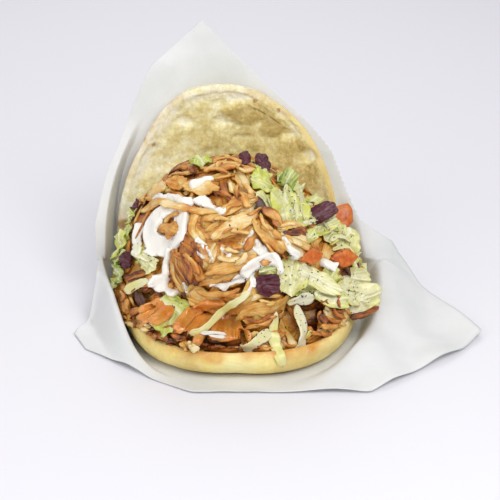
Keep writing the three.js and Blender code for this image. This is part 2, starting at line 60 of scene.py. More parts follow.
FOLD = {"centre_y": 40.0, "radius": 29.0, "angle": math.radians(78)}
HEAP_CENTRE = np.array([0.0, 20.0, 31.0])
HEAP_RADIUS = 81.0
HEAP_FOOT = 25.0
BOWL = 4.4  # how far the crumb rises towards the rim of the raised half
RIM_FILL = 1.3  # how much higher the crumb meets the rim there than in the solid
# Where the rim of the raised half runs straighter
SHOULDER = {"angle": math.radians(121), "flattened": 0.038}
CORE_DEPTH = 5.0  # how far the core lies below the heap's surface
VIEW = {"middle": np.array([11.0, 9.0, 50.0]), "height": math.radians(25), "distance": 1080.0,
        "lens": 112.0}
TOP_CORNER = math.radians(93.3)
UNIT = 0.001  # metres for each unit below
UNIT_PX = 0.694  # millimetres for each pixel of the photo


# Numbers and curves

def lerp(a, b, t):
    """The value that lies the share t of the way from a to b."""
    return a + (b - a) * t


def smoothstep(x, low, high):
    """A soft step from 0 at one limit to 1 at the other."""
    t = np.clip((x - low) / (high - low), 0.0, 1.0)
    return t * t * (3.0 - 2.0 * t)


def unit(v):
    """Vectors made one unit long."""
    return v / np.maximum(np.linalg.norm(v, axis=-1, keepdims=True), 1e-9)


def lattice(cell, seed):
    """A scrambled number from -1 to 1 for each whole-numbered cell."""
    h = cell[..., 0] * 73856093 ^ cell[..., 1] * 19349663 ^ cell[..., 2] * 83492791 ^ seed * 40503
    h = (h ^ (h >> 13)) * 1274126177 & 0xFFFFFFFF
    h = (h ^ (h >> 15)) * 668265263 & 0xFFFFFFFF
    return ((h ^ (h >> 16)) & 0xFFFF) / 32767.5 - 1.0


def noise(points, size, seed=0):
    """Smooth noise from -1 to 1 with lumps of about the given size."""
    p = np.asarray(points, float) / size
    base = np.floor(p).astype(np.int64)
    f = p - base
    f = f * f * (3.0 - 2.0 * f)
    total = 0.0
    for corner in range(8):
        step = np.array([corner & 1, (corner >> 1) & 1, corner >> 2])
        weight = np.prod(np.where(step, f, 1.0 - f), axis=-1)
        total = total + weight * lattice(base + step, seed)
    return total


def layered(points, size, seed=0, octaves=3, keep=0.5):
    """Noise with finer noise on top, each octave half as large."""
    return sum(keep**i * noise(points, size / 2**i, seed + i) for i in range(octaves))


def wobble(t, size, seed):
    """Smooth noise along a line."""
    t = np.asarray(t, float)
    return noise(np.stack([t, np.full_like(t, 0.37), np.full_like(t, 0.71)], axis=-1), size, seed)


def spline(points, step, most=70):
    """Evenly spaced points on a smooth curve through some points."""
    p = np.asarray(points, float)
    p = np.vstack([2 * p[0] - p[1], p, 2 * p[-1] - p[-2]])
    t = np.linspace(0.0, 1.0, 24, endpoint=False)[:, None]
    runs = []
    for a, b, c, d in zip(p[:-3], p[1:-2], p[2:-1], p[3:]):
        bend = 2 * a - 5 * b + 4 * c - d
        runs.append(0.5 * (2 * b + (c - a) * t + bend * t**2 + (3 * b - a - 3 * c + d) * t**3))
    dense = np.vstack([*runs, p[-2]])
    reach = np.concatenate([[0.0], np.cumsum(np.linalg.norm(np.diff(dense, axis=0), axis=1))])
    count = int(np.clip(round(reach[-1] / step), 5, most)) + 1
    even = np.linspace(0.0, reach[-1], count)
    return np.stack([np.interp(even, reach, dense[:, k]) for k in range(3)], axis=-1), reach[-1]


def blurred(values, sigma):
    """A row or a grid of values smoothed along each axis."""
    reach = max(1, int(3 * sigma))
    kernel = np.exp(-0.5 * (np.arange(-reach, reach + 1) / sigma) ** 2)
    kernel /= kernel.sum()
    for axis in range(values.ndim):
        padded = np.pad(values, [(reach, reach) if k == axis else (0, 0) for k in range(values.ndim)],
                        "edge")
        values = np.apply_along_axis(np.convolve, axis, padded, kernel, "valid")
    return values


# Meshes

def ring_faces(rings, sides):
    """Faces of a closed solid: a first point, rings of points, and a last point."""
    i = np.arange(sides)
    j = (i + 1) % sides
    faces = np.stack([np.zeros(sides, int), 1 + j, 1 + i], axis=-1).tolist()
    for r in range(rings - 1):
        a = 1 + r * sides
        b = a + sides
        faces += np.stack([a + i, a + j, b + j, b + i], axis=-1).tolist()
    end = 1 + (rings - 1) * sides
    faces += np.stack([end + i, end + j, np.full(sides, end + sides)], axis=-1).tolist()
    return faces


def closed_values(rows):
    """Values of rings of points, with those of the first and last point, as ring_faces counts them."""
    return np.concatenate([rows[0, :1], rows.reshape(-1, *rows.shape[2:]), rows[-1, :1]])


class Joined:
    """Closed solids gathered into one mesh, with values at their points for the material to read."""

    def __init__(self):
        self.points = []
        self.faces = []
        self.values = {}
        self.count = 0

    def add(self, points, faces, **values):
        """Adds one closed solid, in millimetres, with its values."""
        self.points.append(points)
        self.faces += [[self.count + i for i in face] for face in faces]
        for key, value in values.items():
            shape = (len(points), 3) if np.ndim(value) == 2 else (len(points),)
            self.values.setdefault(key, []).append(np.broadcast_to(np.asarray(value, float), shape))
        self.count += len(points)

    def finish(self, name, material, slot, *nodes):
        """Makes the mesh, hangs it under the root body and hides the nodes of the frame that it shows."""
        mesh = bpy.data.meshes.new(name)
        mesh.from_pydata((np.vstack(self.points) * UNIT).tolist(), [], self.faces)
        for key, parts in self.values.items():
            value = np.concatenate(parts)
            kind = "FLOAT_VECTOR" if value.ndim == 2 else "FLOAT"
            field = "vector" if value.ndim == 2 else "value"
            attribute = mesh.attributes.new(key, kind, "POINT")
            attribute.data.foreach_set(field, value.astype(np.float32).ravel())
        mesh.polygons.foreach_set("use_smooth", np.ones(len(mesh.polygons), bool))
        mesh.validate()
        turn_outwards(mesh)
        piece = bpy.data.objects.new(name, mesh)
        bpy.context.scene.collection.objects.link(piece)
        piece.data.materials.append(material)
        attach(piece, "root")
        if nodes:
            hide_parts(*nodes)
        return piece


def turn_outwards(mesh):
    """Turns each closed solid of a mesh right side out."""
    work = bmesh.new()
    work.from_mesh(mesh)
    bmesh.ops.recalc_face_normals(work, faces=work.faces)
    work.to_mesh(mesh)
    work.free()
    mesh.update()


# The view

BACK = np.array([0, -math.cos(VIEW["height"]), math.sin(VIEW["height"])])
ABOVE = np.array([0, math.sin(VIEW["height"]), math.cos(VIEW["height"])])
EYE = VIEW["middle"] + BACK * VIEW["distance"]


def sight(place):
    """The way the eye looks towards a place of the view, [right, up] from its middle."""
    return unit(VIEW["middle"] + ABOVE * place[1] + np.array([place[0], 0, 0]) - EYE)


def shown_at(points):
    """The places of the view, right and up from its middle, where points are seen."""
    offset = points - EYE
    nearer = VIEW["distance"] / -(offset @ BACK)
    return offset[..., 0] * nearer, (offset @ ABOVE) * nearer


# The sheet that bread and paper are bent from

def folded(x, q, h):
    """A point of the sheet, x across, q along and h above it, swayed and bent up round the fold."""
    half = FOLD["radius"] * FOLD["angle"] / 2
    turn = np.clip((q + half) / FOLD["radius"], 0.0, FOLD["angle"])
    beyond = np.where(q < -half, q + half, np.maximum(q - half, 0.0))
    sway = lerp(5.5, -5.5, smoothstep(q, -110, 54)) - 7 * smoothstep(q, 95, 153)
    y = FOLD["centre_y"] + FOLD["radius"] * np.sin(turn) + beyond * np.cos(turn) - h * np.sin(turn)
    z = FOLD["radius"] * (1 - np.cos(turn)) + beyond * np.sin(turn) + h * np.cos(turn)
    return np.stack([x + sway, y, z], axis=-1)


def bread_reach(angle):
    """Distance from the middle of the sheet to the bread's outline."""
    upward = smoothstep(np.sin(angle), -0.35, 0.35)
    half_width = lerp(BREAD["lower_half_width"], BREAD["upper_half_width"], upward)
    along = np.where(np.sin(angle) > 0, BREAD["upper_reach"], BREAD["lower_reach"])
    square = lerp(BREAD["lower_square"], BREAD["upper_square"], upward)
    across = np.abs(np.cos(angle)) / half_width
    outline = (across**square + (np.abs(np.sin(angle)) / along) ** square) ** (-1 / square)
    return outline * (1 + 0.008 * np.cos(3 * angle + 0.6) + 0.006 * np.cos(7 * angle + 2))


def dome(x, q):
    """How far the raised half bulges backwards."""
    return -BREAD["dome"] * np.exp(-((x / 54) ** 2) - ((q - 81) / 43) ** 2) * smoothstep(q, -15, 25)


def spokes(count, close_to, share):
    """Angles round the sheet from the top corner, closer together near one angle."""
    t = np.arange(count) / count
    turn = t + (TOP_CORNER - close_to) / (2 * math.pi)
    return close_to + 2 * math.pi * (turn - share * np.sin(2 * math.pi * turn) / (2 * math.pi))


def grid_normals(grid):
    """The way each point of a grid of rings looks; the second direction is closed."""
    along = np.gradient(grid, axis=0)
    round_ = np.roll(grid, -1, axis=1) - np.roll(grid, 1, axis=1)
    return unit(np.cross(along, round_))


# Materials

def srgb(r, g, b):
    """A colour of 0 to 255 as the renderer's linear values."""
    c = np.array([r, g, b]) / 255
    return (*np.where(c > 0.04045, ((c + 0.055) / 1.055) ** 2.4, c / 12.92).tolist(), 1.0)


def feed(tree, socket, value):
    """Links a value into a socket, or sets it there where it is a plain number or colour."""
    if isinstance(value, bpy.types.NodeSocket):
        tree.links.new(value, socket)
    else:
        socket.default_value = value


class Nodes:
    """A material under construction."""

    def __init__(self, name):
        self.material = bpy.data.materials.new(name)
        self.material.use_nodes = True
        self.tree = self.material.node_tree
        self.shader = self.tree.nodes["Principled BSDF"]

    def make(self, kind, **inputs):
        """A new node with its inputs filled in."""
        node = self.tree.nodes.new(kind)
        for key, value in inputs.items():
            self.set(node, key.replace("_", " "), value)
        return node

    def set(self, node, name, value):
        """Fills one input of a node."""
        feed(self.tree, node.inputs[name], value)

    def attribute(self, name, output="Fac"):
        """What the mesh says at its points under a name."""
        node = self.tree.nodes.new("ShaderNodeAttribute")
        node.attribute_name = name
        return node.outputs[output]

    def noise(self, scale, detail=4.0, roughness=0.55, vector=None, distortion=0.0):
        """Cloudy noise over the piece or over a vector."""
        node = self.make("ShaderNodeTexNoise", Scale=scale, Detail=detail, Roughness=roughness)
        node.inputs["Distortion"].default_value = distortion
        if vector is None:
            vector = self.make("ShaderNodeTexCoord").outputs["Object"]
        self.tree.links.new(vector, node.inputs["Vector"])
        return node.outputs["Fac"]

    def ramp(self, value, *stops):
        """A colour for a value, from stops of place and colour."""
        node = self.tree.nodes.new("ShaderNodeValToRGB")
        elements = node.color_ramp.elements
        while len(elements) < len(stops):
            elements.new(0.5)
        for element, (place, *colour) in zip(elements, stops):
            element.position = place
            element.color = srgb(*colour)
        self.tree.links.new(value, node.inputs["Fac"])
        return node.outputs["Color"]

    def mix(self, share, a, b):
        """The first colour going over to the second by a share."""
        node = self.tree.nodes.new("ShaderNodeMix")
        node.data_type = "RGBA"
        for socket, value in zip((node.inputs[0], node.inputs[6], node.inputs[7]), (share, a, b)):
            feed(self.tree, socket, value)
        return node.outputs[2]

    def math(self, operation, a, b=0.0):
        """One step of arithmetic."""
        node = self.tree.nodes.new("ShaderNodeMath")
        node.operation = operation
        for socket, value in zip(node.inputs, (a, b)):
            feed(self.tree, socket, value)
        return node.outputs[0]

    def span(self, value, low, high, to_low=0.0, to_high=1.0):
        """A value's place between two limits, carried to two others."""
        node = self.tree.nodes.new("ShaderNodeMapRange")
        self.tree.links.new(value, node.inputs["Value"])
        for name, number in (("From Min", low), ("From Max", high), ("To Min", to_low),
                             ("To Max", to_high)):
            node.inputs[name].default_value = number
        return node.outputs["Result"]

    def bump(self, height, distance, strength=1.0):
        """Fine relief that only the light shows."""
        node = self.make("ShaderNodeBump", Distance=distance, Strength=strength)
        self.tree.links.new(height, node.inputs["Height"])
        self.tree.links.new(node.outputs["Normal"], self.shader.inputs["Normal"])

    def finish(self, colour, roughness, **fixed):
        """Sets the surface's colour and roughness, and returns the material."""
        self.set(self.shader, "Base Color", colour)
        self.set(self.shader, "Roughness", roughness)
        for key, value in fixed.items():
            self.shader.inputs[key.replace("_", " ")].default_value = value
        return self.material


def flesh(m, radius, scale, weight):
    """Sets how far light spreads below a soft surface."""
    m.shader.inputs["Subsurface Weight"].default_value = weight
    m.shader.inputs["Subsurface Radius"].default_value = radius
    m.shader.inputs["Subsurface Scale"].default_value = scale


def bread_material():
    """Pale torn crumb inside, with painted light and shade, and yellow skin outside, toasted and stained in
    places.
    """
    m = Nodes("bread_crumb_and_crust")
    crumb = m.attribute("crumb")
    fine = m.noise(420, 6, 0.6)
    broad = m.noise(38, 3, 0.5)
    patchy = m.span(m.noise(150, 5, 0.7), 0.3, 0.7, -0.24, 0.26)
    height = m.math("ADD", m.math("ADD", crumb, patchy), m.span(fine, 0.3, 0.7, -0.18, 0.18))
    # The crumb value carries painted light and shade besides the crumb's own mottling, so this ramp runs from
    # warm painted shade to pale painted light.
    inside = m.ramp(
        height,
        (0.0, 188, 164, 98),
        (0.25, 214, 194, 128),
        (0.5, 229, 216, 158),
        (0.72, 241, 233, 188),
        (0.95, 252, 248, 224),
    )
    crust = m.ramp(
        m.math("ADD", broad, m.span(fine, 0.3, 0.7, -0.08, 0.08)),
        (0.25, 236, 204, 118),
        (0.5, 246, 227, 148),
        (0.8, 250, 238, 176),
    )
    skin = m.mix(m.attribute("crust"), inside, crust)
    toasted = m.mix(m.attribute("toast"), skin, srgb(176, 116, 52))
    stained = m.mix(m.attribute("stain"), toasted, srgb(214, 140, 56))
    flour = m.mix(m.span(m.noise(120, 5, 0.7), 0.56, 0.72, 0.0, 0.25), stained, srgb(248, 240, 208))
    pores = m.math("MULTIPLY", m.noise(760, 5, 0.65), 1.4)
    m.bump(m.math("ADD", fine, pores), 0.0009, 0.6)
    flesh(m, (1.0, 0.85, 0.55), 0.002, 0.25)
    return m.finish(flour, 0.82, Specular_IOR_Level=0.25)


def paper_material():
    """White paper that lets a little light through."""
    m = Nodes("greaseproof_paper")
    cloud = m.noise(24, 4, 0.5)
    fibre = m.noise(900, 4, 0.6)
    tint = m.ramp(
        m.math("ADD", cloud, m.span(fibre, 0.3, 0.7, -0.05, 0.05)),
        (0.3, 232, 234, 231),
        (0.6, 241, 241, 240),
    )
    m.bump(m.math("ADD", m.noise(160, 4, 0.5), m.math("MULTIPLY", fibre, 0.25)), 0.0007, 0.35)
    m.finish(tint, 0.48, Specular_IOR_Level=0.35)
    through = m.make("ShaderNodeBsdfTranslucent")
    m.tree.links.new(tint, through.inputs["Color"])
    both = m.tree.nodes.new("ShaderNodeMixShader")
    both.inputs[0].default_value = 0.22
    m.tree.links.new(m.shader.outputs[0], both.inputs[1])
    m.tree.links.new(through.outputs[0], both.inputs[2])
    m.tree.links.new(both.outputs[0], m.tree.nodes["Material Output"].inputs["Surface"])
    return m.material


def chicken_material():
    """Meat from pale to dark brown, with strands along each slice."""
    m = Nodes("sliced_chicken")
    grain = m.attribute("grain", "Vector")
    strands = m.noise(1.0, 5, 0.62, grain, 0.4)
    patches = m.noise(95, 4, 0.6)
    tone = m.attribute("tone")
    shade = m.math("ADD", tone, m.span(strands, 0.3, 0.7, -0.17, 0.17))
    shade = m.math("ADD", shade, m.span(patches, 0.3, 0.7, -0.24, 0.24))
    shade = m.math("ADD", shade, m.math("MULTIPLY", m.attribute("edge"), 0.2))
    shade = m.math("SUBTRACT", shade, 0.07)
    colour = m.ramp(
        shade,
        (0.0, 238, 214, 162),
        (0.22, 224, 182, 104),
        (0.45, 206, 146, 58),
        (0.66, 178, 103, 29),
        (0.85, 132, 66, 19),
        (1.0, 72, 35, 14),
    )
    m.bump(m.math("ADD", strands, m.math("MULTIPLY", m.noise(700, 4, 0.6), 0.5)), 0.0005, 0.4)
    flesh(m, (1.0, 0.5, 0.25), 0.003, 0.35)
    return m.finish(colour, m.span(patches, 0.3, 0.7, 0.34, 0.56), Specular_IOR_Level=0.45, Coat_Weight=0.2,
                    Coat_Roughness=0.25)


def lettuce_material():
    """Green leaves, paler along their veins."""
    m = Nodes("lettuce_leaf")
    green = m.attribute("green")
    veins = m.attribute("vein")
    cells = m.noise(260, 5, 0.6)
    shade = m.math("ADD", green, m.span(cells, 0.3, 0.7, -0.14, 0.14))
    blade = m.ramp(
        shade,
        (0.0, 230, 225, 180),
        (0.3, 214, 211, 130),
        (0.55, 204, 206, 92),
        (0.8, 168, 180, 54),
        (1.0, 108, 132, 40),
    )
    colour = m.mix(m.math("MULTIPLY", veins, 0.75), blade, srgb(238, 238, 208))
    m.bump(m.math("ADD", cells, m.math("MULTIPLY", veins, 0.6)), 0.0006, 0.5)
    flesh(m, (0.9, 1.0, 0.4), 0.0025, 0.35)
    return m.finish(colour, 0.36, Specular_IOR_Level=0.5, Coat_Weight=0.3, Coat_Roughness=0.18)


def shred_material():
    """White and yellowish shreds, some of them tinged with sauce."""
    m = Nodes("white_cabbage_shred")
    grain = m.attribute("grain", "Vector")
    lines = m.noise(0.8, 3, 0.5, grain)
    tone = m.math("ADD", m.attribute("tone"), m.span(lines, 0.3, 0.7, -0.12, 0.12))
    colour = m.ramp(
        tone,
        (0.0, 236, 234, 220),
        (0.35, 226, 220, 164),
        (0.6, 216, 212, 118),
        (0.8, 232, 178, 92),
        (1.0, 224, 150, 66),
    )
    m.bump(lines, 0.0004, 0.5)
    flesh(m, (1.0, 0.95, 0.6), 0.003, 0.4)
    return m.finish(colour, 0.34, Specular_IOR_Level=0.5, Coat_Weight=0.3, Coat_Roughness=0.2)


def red_cabbage_material():
    """Dark red leaves with slightly paler veins."""
    m = Nodes("red_cabbage_leaf")
    mottle = m.noise(420, 5, 0.65)
    colour = m.ramp(mottle, (0.3, 54, 11, 22), (0.55, 84, 25, 38), (0.75, 112, 46, 60))
    pale = m.mix(m.math("MULTIPLY", m.attribute("vein"), 0.2), colour, srgb(166, 120, 132))
    m.bump(mottle, 0.0005, 0.5)
    return m.finish(pale, 0.42, Specular_IOR_Level=0.35, Coat_Weight=0.1, Coat_Roughness=0.2)


def tomato_material():
    """Orange-red flesh of tomato."""
    m = Nodes("diced_tomato")
    flesh_noise = m.noise(300, 5, 0.6)
    colour = m.ramp(
        flesh_noise,
        (0.3, 172, 68, 14),
        (0.5, 196, 98, 24),
        (0.7, 212, 130, 52),
    )
    m.bump(flesh_noise, 0.0005, 0.6)
    flesh(m, (1.0, 0.5, 0.2), 0.002, 0.15)
    return m.finish(colour, 0.38, Specular_IOR_Level=0.4, Coat_Weight=0.15, Coat_Roughness=0.15)


def sauce_material(name, low, high, speck, amount):
    """Smooth sauce between two colours, with small specks."""
    m = Nodes(name)
    body = m.ramp(m.noise(90, 4, 0.5), (0.3, *low), (0.7, *high))
    specks = m.span(m.noise(1500, 2, 0.5), 0.68, 0.72, 0.0, amount)
    m.bump(m.noise(150, 4, 0.55), 0.0011, 0.5)
    flesh(m, (1.0, 0.9, 0.8), 0.002, 0.3)
    return m.finish(m.mix(specks, body, srgb(*speck)), 0.24, Specular_IOR_Level=0.5, Coat_Weight=0.5,
                    Coat_Roughness=0.12)


def herb_material():
    """Dark dried flakes."""
    m = Nodes("dried_herb")
    colour = m.ramp(m.noise(500, 2, 0.5), (0.35, 28, 30, 16), (0.65, 72, 82, 34))
    return m.finish(colour, 0.7, Specular_IOR_Level=0.3)


# Bread and paper

# Toasted spots of the crust: place on the flat sheet, size and strength
BREAD_TOAST = [(-73, 100, 4.5, 0.8), (-76, 42, 4, 0.7), (70, 100, 6, 0.35), (46, 124, 5, 0.3),
               (30, -140, 9, 0.25)]


def bread_surface(angle, run, depth):
    """A point on the bread: depth 0 is the crust outside and 1 the crumb inside."""
    near_shoulder = np.exp((np.cos(angle - SHOULDER["angle"]) - 1) * 14)
    reach = bread_reach(angle) * (1 - SHOULDER["flattened"] * near_shoulder)
    upward = smoothstep(np.sin(angle), -0.2, 0.5)
    lip = lerp(BREAD["lower_lip"], BREAD["upper_lip"], upward) / (1 - math.cos(BREAD["overturn"]))
    turn = np.maximum(run - 1, 0) * BREAD["overturn"]
    inwards = depth * BREAD["thickness"]
    r = (reach - BREAD["lip_reach"]) * np.minimum(run, 1) + (BREAD["lip_reach"] - inwards) * np.sin(turn)
    h = BREAD["above_paper"] + lip * (1 - np.cos(turn)) + inwards * np.cos(turn)
    filled = smoothstep(np.sin(angle), -0.35, 0.05)
    h = h + RIM_FILL * filled * depth * np.clip(run - 1, 0, 1)
    if depth == 1.0:
        share = np.clip(run - 1, 0, 1)
        rise = BOWL * smoothstep(np.minimum(run, 1), 0.4, 1.05)
        flat_h = BREAD["above_paper"] + BREAD["thickness"] + rise
        curled = BREAD["overturn"]
        rim_r = reach - BREAD["lip_reach"] + (BREAD["lip_reach"] - inwards) * math.sin(curled)
        rim_h = BREAD["above_paper"] + lip * (1 - math.cos(curled)) + inwards * math.cos(curled)
        start_r = (reach - BREAD["lip_reach"]) * np.minimum(run, 1)
        r = lerp(r, lerp(start_r, rim_r, share), filled)
        h = lerp(h, lerp(flat_h, rim_h + RIM_FILL, share**1.3), filled)
    x = r * np.cos(angle)
    q = r * np.sin(angle)
    return folded(x, q, h + dome(x, q)), x, q


# Torn hollows, raised tufts and toasted spots of the crumb: place in the view, reach across and up, and how
# strong. The hollows are sunk and painted darker, as painted shade; the tufts are raised and painted paler,
# partly their own whiter crumb and partly painted light.
CRUMB_HOLLOWS = [
    ((4, 96), 20, 8, 1.0),
    ((17.5, 88), 12, 9, 1.0),
    ((34.5, 73), 7, 5, 0.9),
    ((39, 50), 14, 13, 0.8),
    ((8.5, 72), 34, 14, 0.45),
    ((-30.5, 79), 20, 10, 0.3),
    ((25, 59), 20, 12, 0.6),
]
CRUMB_TUFTS = [
    ((-44.5, 89.5), 6, 3.6, 0.9),
    ((-16.5, 90), 10, 5, 1.0),
    ((-6, 77), 6, 3.6, 0.7),
    ((28, 82.5), 6, 5.5, 1.0),
    ((42.5, 66), 10, 4.5, 1.0),
    ((33.5, 93), 9, 6, 0.5),
    ((-19.5, 105.5), 18, 6, 0.5),
    ((-67.5, 64), 12, 10, 0.4),
]
TOAST_SPOTS = [
    ((-77.5, 78.5), 4.5, 4, 0.9),
    ((-85.5, 59), 2, 4, 0.5),
    ((3.5, 103.5), 1.7, 1.3, 0.9),
    ((20, 97), 1.4, 1.5, 0.9),
    ((-66.5, 73), 1.3, 1.2, 0.7),
    ((29, 76.5), 1, 3, 0.5),
]


def spots(grid, places, ragged, size):
    """From 0 to 1, how far points lie inside some ragged spots of the view."""
    right, up = shown_at(grid)
    edge = ragged * layered(grid, size, 71, 2)
    total = np.zeros(grid.shape[:2])
    for place, across, tall, strength in places:
        far = np.hypot((right - place[0]) / across, (up - place[1]) / tall) + edge
        total = np.maximum(total, strength * smoothstep(1.3 - far, 0, 0.7))
    return total


def bread_grid(angles):
    """Rings of points over the outside, the rim and the inside of the bread, and where each lies."""
    outer_runs = np.concatenate([np.linspace(0.06, 1, 26), np.linspace(1, 2, 20)[1:]])
    rim_to_bowl = np.linspace(2, 1, 26)[:-1]
    bowl = np.linspace(1, 0.42, 62)[:-1]
    middle = np.linspace(0.42, 0.06, 9)
    rows = [(run, 0.0, 0.0) for run in outer_runs]
    rows += [(2.0, share, math.sin(math.pi * share)) for share in np.linspace(0, 1, 9)[1:-1]]
    rows += [(run, 1.0, 0.0) for run in np.concatenate([rim_to_bowl, bowl, middle])]
    weaker = 1 - 0.55 * smoothstep(np.sin(angles), -0.35, 0.05)
    grid, across, along = [], [], []
    for run, depth, bulge in rows:
        points, x, q = bread_surface(angles, run, depth)
        if bulge:
            before, _, _ = bread_surface(angles, 1.94, depth)
            bulge_out = BREAD["thickness"] * BREAD["rim_bulge"] * bulge * weaker
            points = points + unit(points - before) * bulge_out[:, None]
        grid.append(points)
        across.append(x)
        along.append(q)
    runs, depths, _ = (np.array(column)[:, None] * np.ones(len(angles)) for column in zip(*rows))
    return np.array(grid), np.array(across), np.array(along), runs, depths


def bread_toast(grid, x, q, runs, depths, upward, to_right):
    """From 0 to 1, how brown each point of the bread is."""
    toast = spots(grid, TOAST_SPOTS, 0.35, 4)
    for spot_x, spot_q, size, strength in BREAD_TOAST:
        far = np.hypot(x - spot_x, q - spot_q) + 2.5 * noise(grid, 6, 31)
        toast = np.maximum(toast, strength * smoothstep(size - far, -1.5, 2.5))
    toast = np.maximum(toast, 0.3 * smoothstep(layered(grid, 26, 41, 3), 0.2, 0.7) * (1 - depths))
    edge_line = (1 - depths) * smoothstep(runs, 1.2, 1.4) * (1 - smoothstep(runs, 1.5, 1.7)) * upward
    toast = np.maximum(toast, 0.4 * edge_line)
    golden = smoothstep(0.75 - depths, 0, 0.4) * smoothstep(runs, 1.4, 1.7) * to_right
    toast = np.maximum(toast, golden * (0.26 + 0.2 * noise(grid, 12, 33)))
    # The crust is made browner towards its bottom, where it meets the paper.
    under = smoothstep(-grid[..., 2], -9, -1.5) * (1 - depths)
    return np.clip(toast + 0.15 * under, 0, 1)


def bread_stain(grid, q, runs, depths):
    """From 0 to 1, how much sauce the front lip has taken up."""
    ragged = 0.35 * layered(grid, 9, 51, 3)
    wet = smoothstep(runs + 0.5 * depths + 0.5 * ragged, 1.7, 2.2)
    return np.clip(smoothstep(-q, 90, 130) * wet * (0.7 + 1.3 * ragged), 0, 1)


def make_bread():
    """The opened flatbread: smooth crust outside and torn, flaky crumb inside."""
    angles = spokes(460, math.pi / 2, 0.42)
    grid, x, q, runs, depths = bread_grid(angles)
    normals = grid_normals(grid)
    upward = smoothstep(np.sin(angles), -0.35, 0.05)
    to_right = smoothstep(np.cos(angles), 0.1, 0.6) * upward
    # The hollows sink the crumb and darken its colour below, as painted shade; the tufts raise it and pale
    # it, partly as painted light.
    hollow = depths * upward * spots(grid, CRUMB_HOLLOWS, 0.3, 9)
    tuft = depths * upward * spots(grid, CRUMB_TUFTS, 0.45, 5)
    crust_from = 0.4 + 0.35 * to_right
    over_rim = smoothstep(runs + 0.12 * noise(grid, 9, 15), 1.42, 1.62) * (1 - to_right)
    torn_edge = np.maximum(smoothstep(depths, crust_from - 0.4, crust_from), over_rim)
    inside = lerp(depths * smoothstep(1.9 - runs, 0, 0.35), torn_edge, upward)
    torn = layered(grid, 17, 3, 4, 0.62) + 0.45 * layered(grid, 5, 9, 2)
    flakes = np.abs(noise(grid, 9, 21)) ** 0.6 - 0.5
    rolled = 1 - 0.7 * smoothstep(runs, 1.25, 1.6) * (1 - 0.3 * depths) * (1 - 0.75 * upward * depths)
    relief = (1.0 * torn + 1.2 * flakes) * rolled * (0.95 - 0.6 * hollow + 0.5 * tuft)
    soft = 0.55 * layered(grid, 30, 5, 2) + 0.22 * layered(grid, 8, 6, 2)
    raised = 2.0 * tuft - 2.4 * hollow
    smooth_part = soft * (1 - inside) * smoothstep(runs, 0.9, 1.1)
    grid = grid + normals * (raised + relief * inside + smooth_part)[..., None]
    crust = np.clip(1 - inside * (1 - 0.6 * smoothstep(runs, 1.6, 2.0) * (1 - upward)), 0, 1)
    # Painted light: the crumb's colour is painted lighter on the left of the raised half.
    on_left = smoothstep(-x, 5, 55)
    # Painted light: the crumb is painted paler towards the rim of the raised half, less so on the right,
    # which is left in painted shade.
    painted_light_rim = upward * smoothstep(runs + 0.15 * layered(grid, 22, 61, 3), 0.85, 1.6) * (1 - 0.6 * to_right)
    # The crumb's colour value: painted light on the bumps of the relief, on the left and along the rim;
    # painted shade in the pits and the hollows; the tufts paler, partly their own crumb and partly painted
    # light.
    crumb = 0.5 + 0.12 * relief + 0.3 * tuft + 0.12 * on_left - 0.5 * hollow + 0.26 * painted_light_rim
    first = folded(np.zeros(1), np.zeros(1), np.full(1, BREAD["above_paper"]))
    last = folded(np.zeros(1), np.zeros(1), np.full(1, BREAD["above_paper"] + BREAD["thickness"]))
    piece = Joined()
    piece.add(
        np.vstack([first, grid.reshape(-1, 3), last]),
        ring_faces(len(grid), len(angles)),
        crumb=closed_values(np.clip(crumb, 0, 1)),
        crust=closed_values(crust),
        toast=closed_values(bread_toast(grid, x, q, runs, depths, upward, to_right)),
        stain=closed_values(bread_stain(grid, q, runs, depths)),
    )
    return piece


# The corners of the sheet of paper laid flat, across and along from its middle
PAPER_CORNERS = [
    (-32, -162), (83, -162), (108, -142), (149, -106), (166, -83), (155, -56), (142, -27), (131, 4),
    (119, 29), (96, 45), (87, 63), (76, 92), (59, 115), (-11, 187), (-47, 155), (-72, 112),
    (-86, 81), (-94, 45), (-95, -18), (-99, -54), (-115, -81), (-106, -103), (-59, -144),
]
# Where the paper's edge is cut in teeth, and how large they are
PINKED = {"from": math.radians(20), "to": math.radians(91), "depth": 1.3, "pitch": 4.2}


def paper_reach(angle):
    """Distance from the middle of the sheet to the paper's edge."""
    c, s = np.cos(angle), np.sin(angle)
    reach = np.zeros_like(angle)
    for (x0, q0), (x1, q1) in zip(PAPER_CORNERS, PAPER_CORNERS[1:] + PAPER_CORNERS[:1]):
        side0 = c * q0 - s * x0
        side1 = c * q1 - s * x1
        with np.errstate(divide="ignore", invalid="ignore"):
            share = side0 / (side0 - side1)
        distance = c * lerp(x0, x1, share) + s * lerp(q0, q1, share)
        met = (side0 * side1 <= 0) & (side0 != side1) & (distance > 0)
        reach = np.maximum(reach, np.where(met, distance, 0))
    return reach


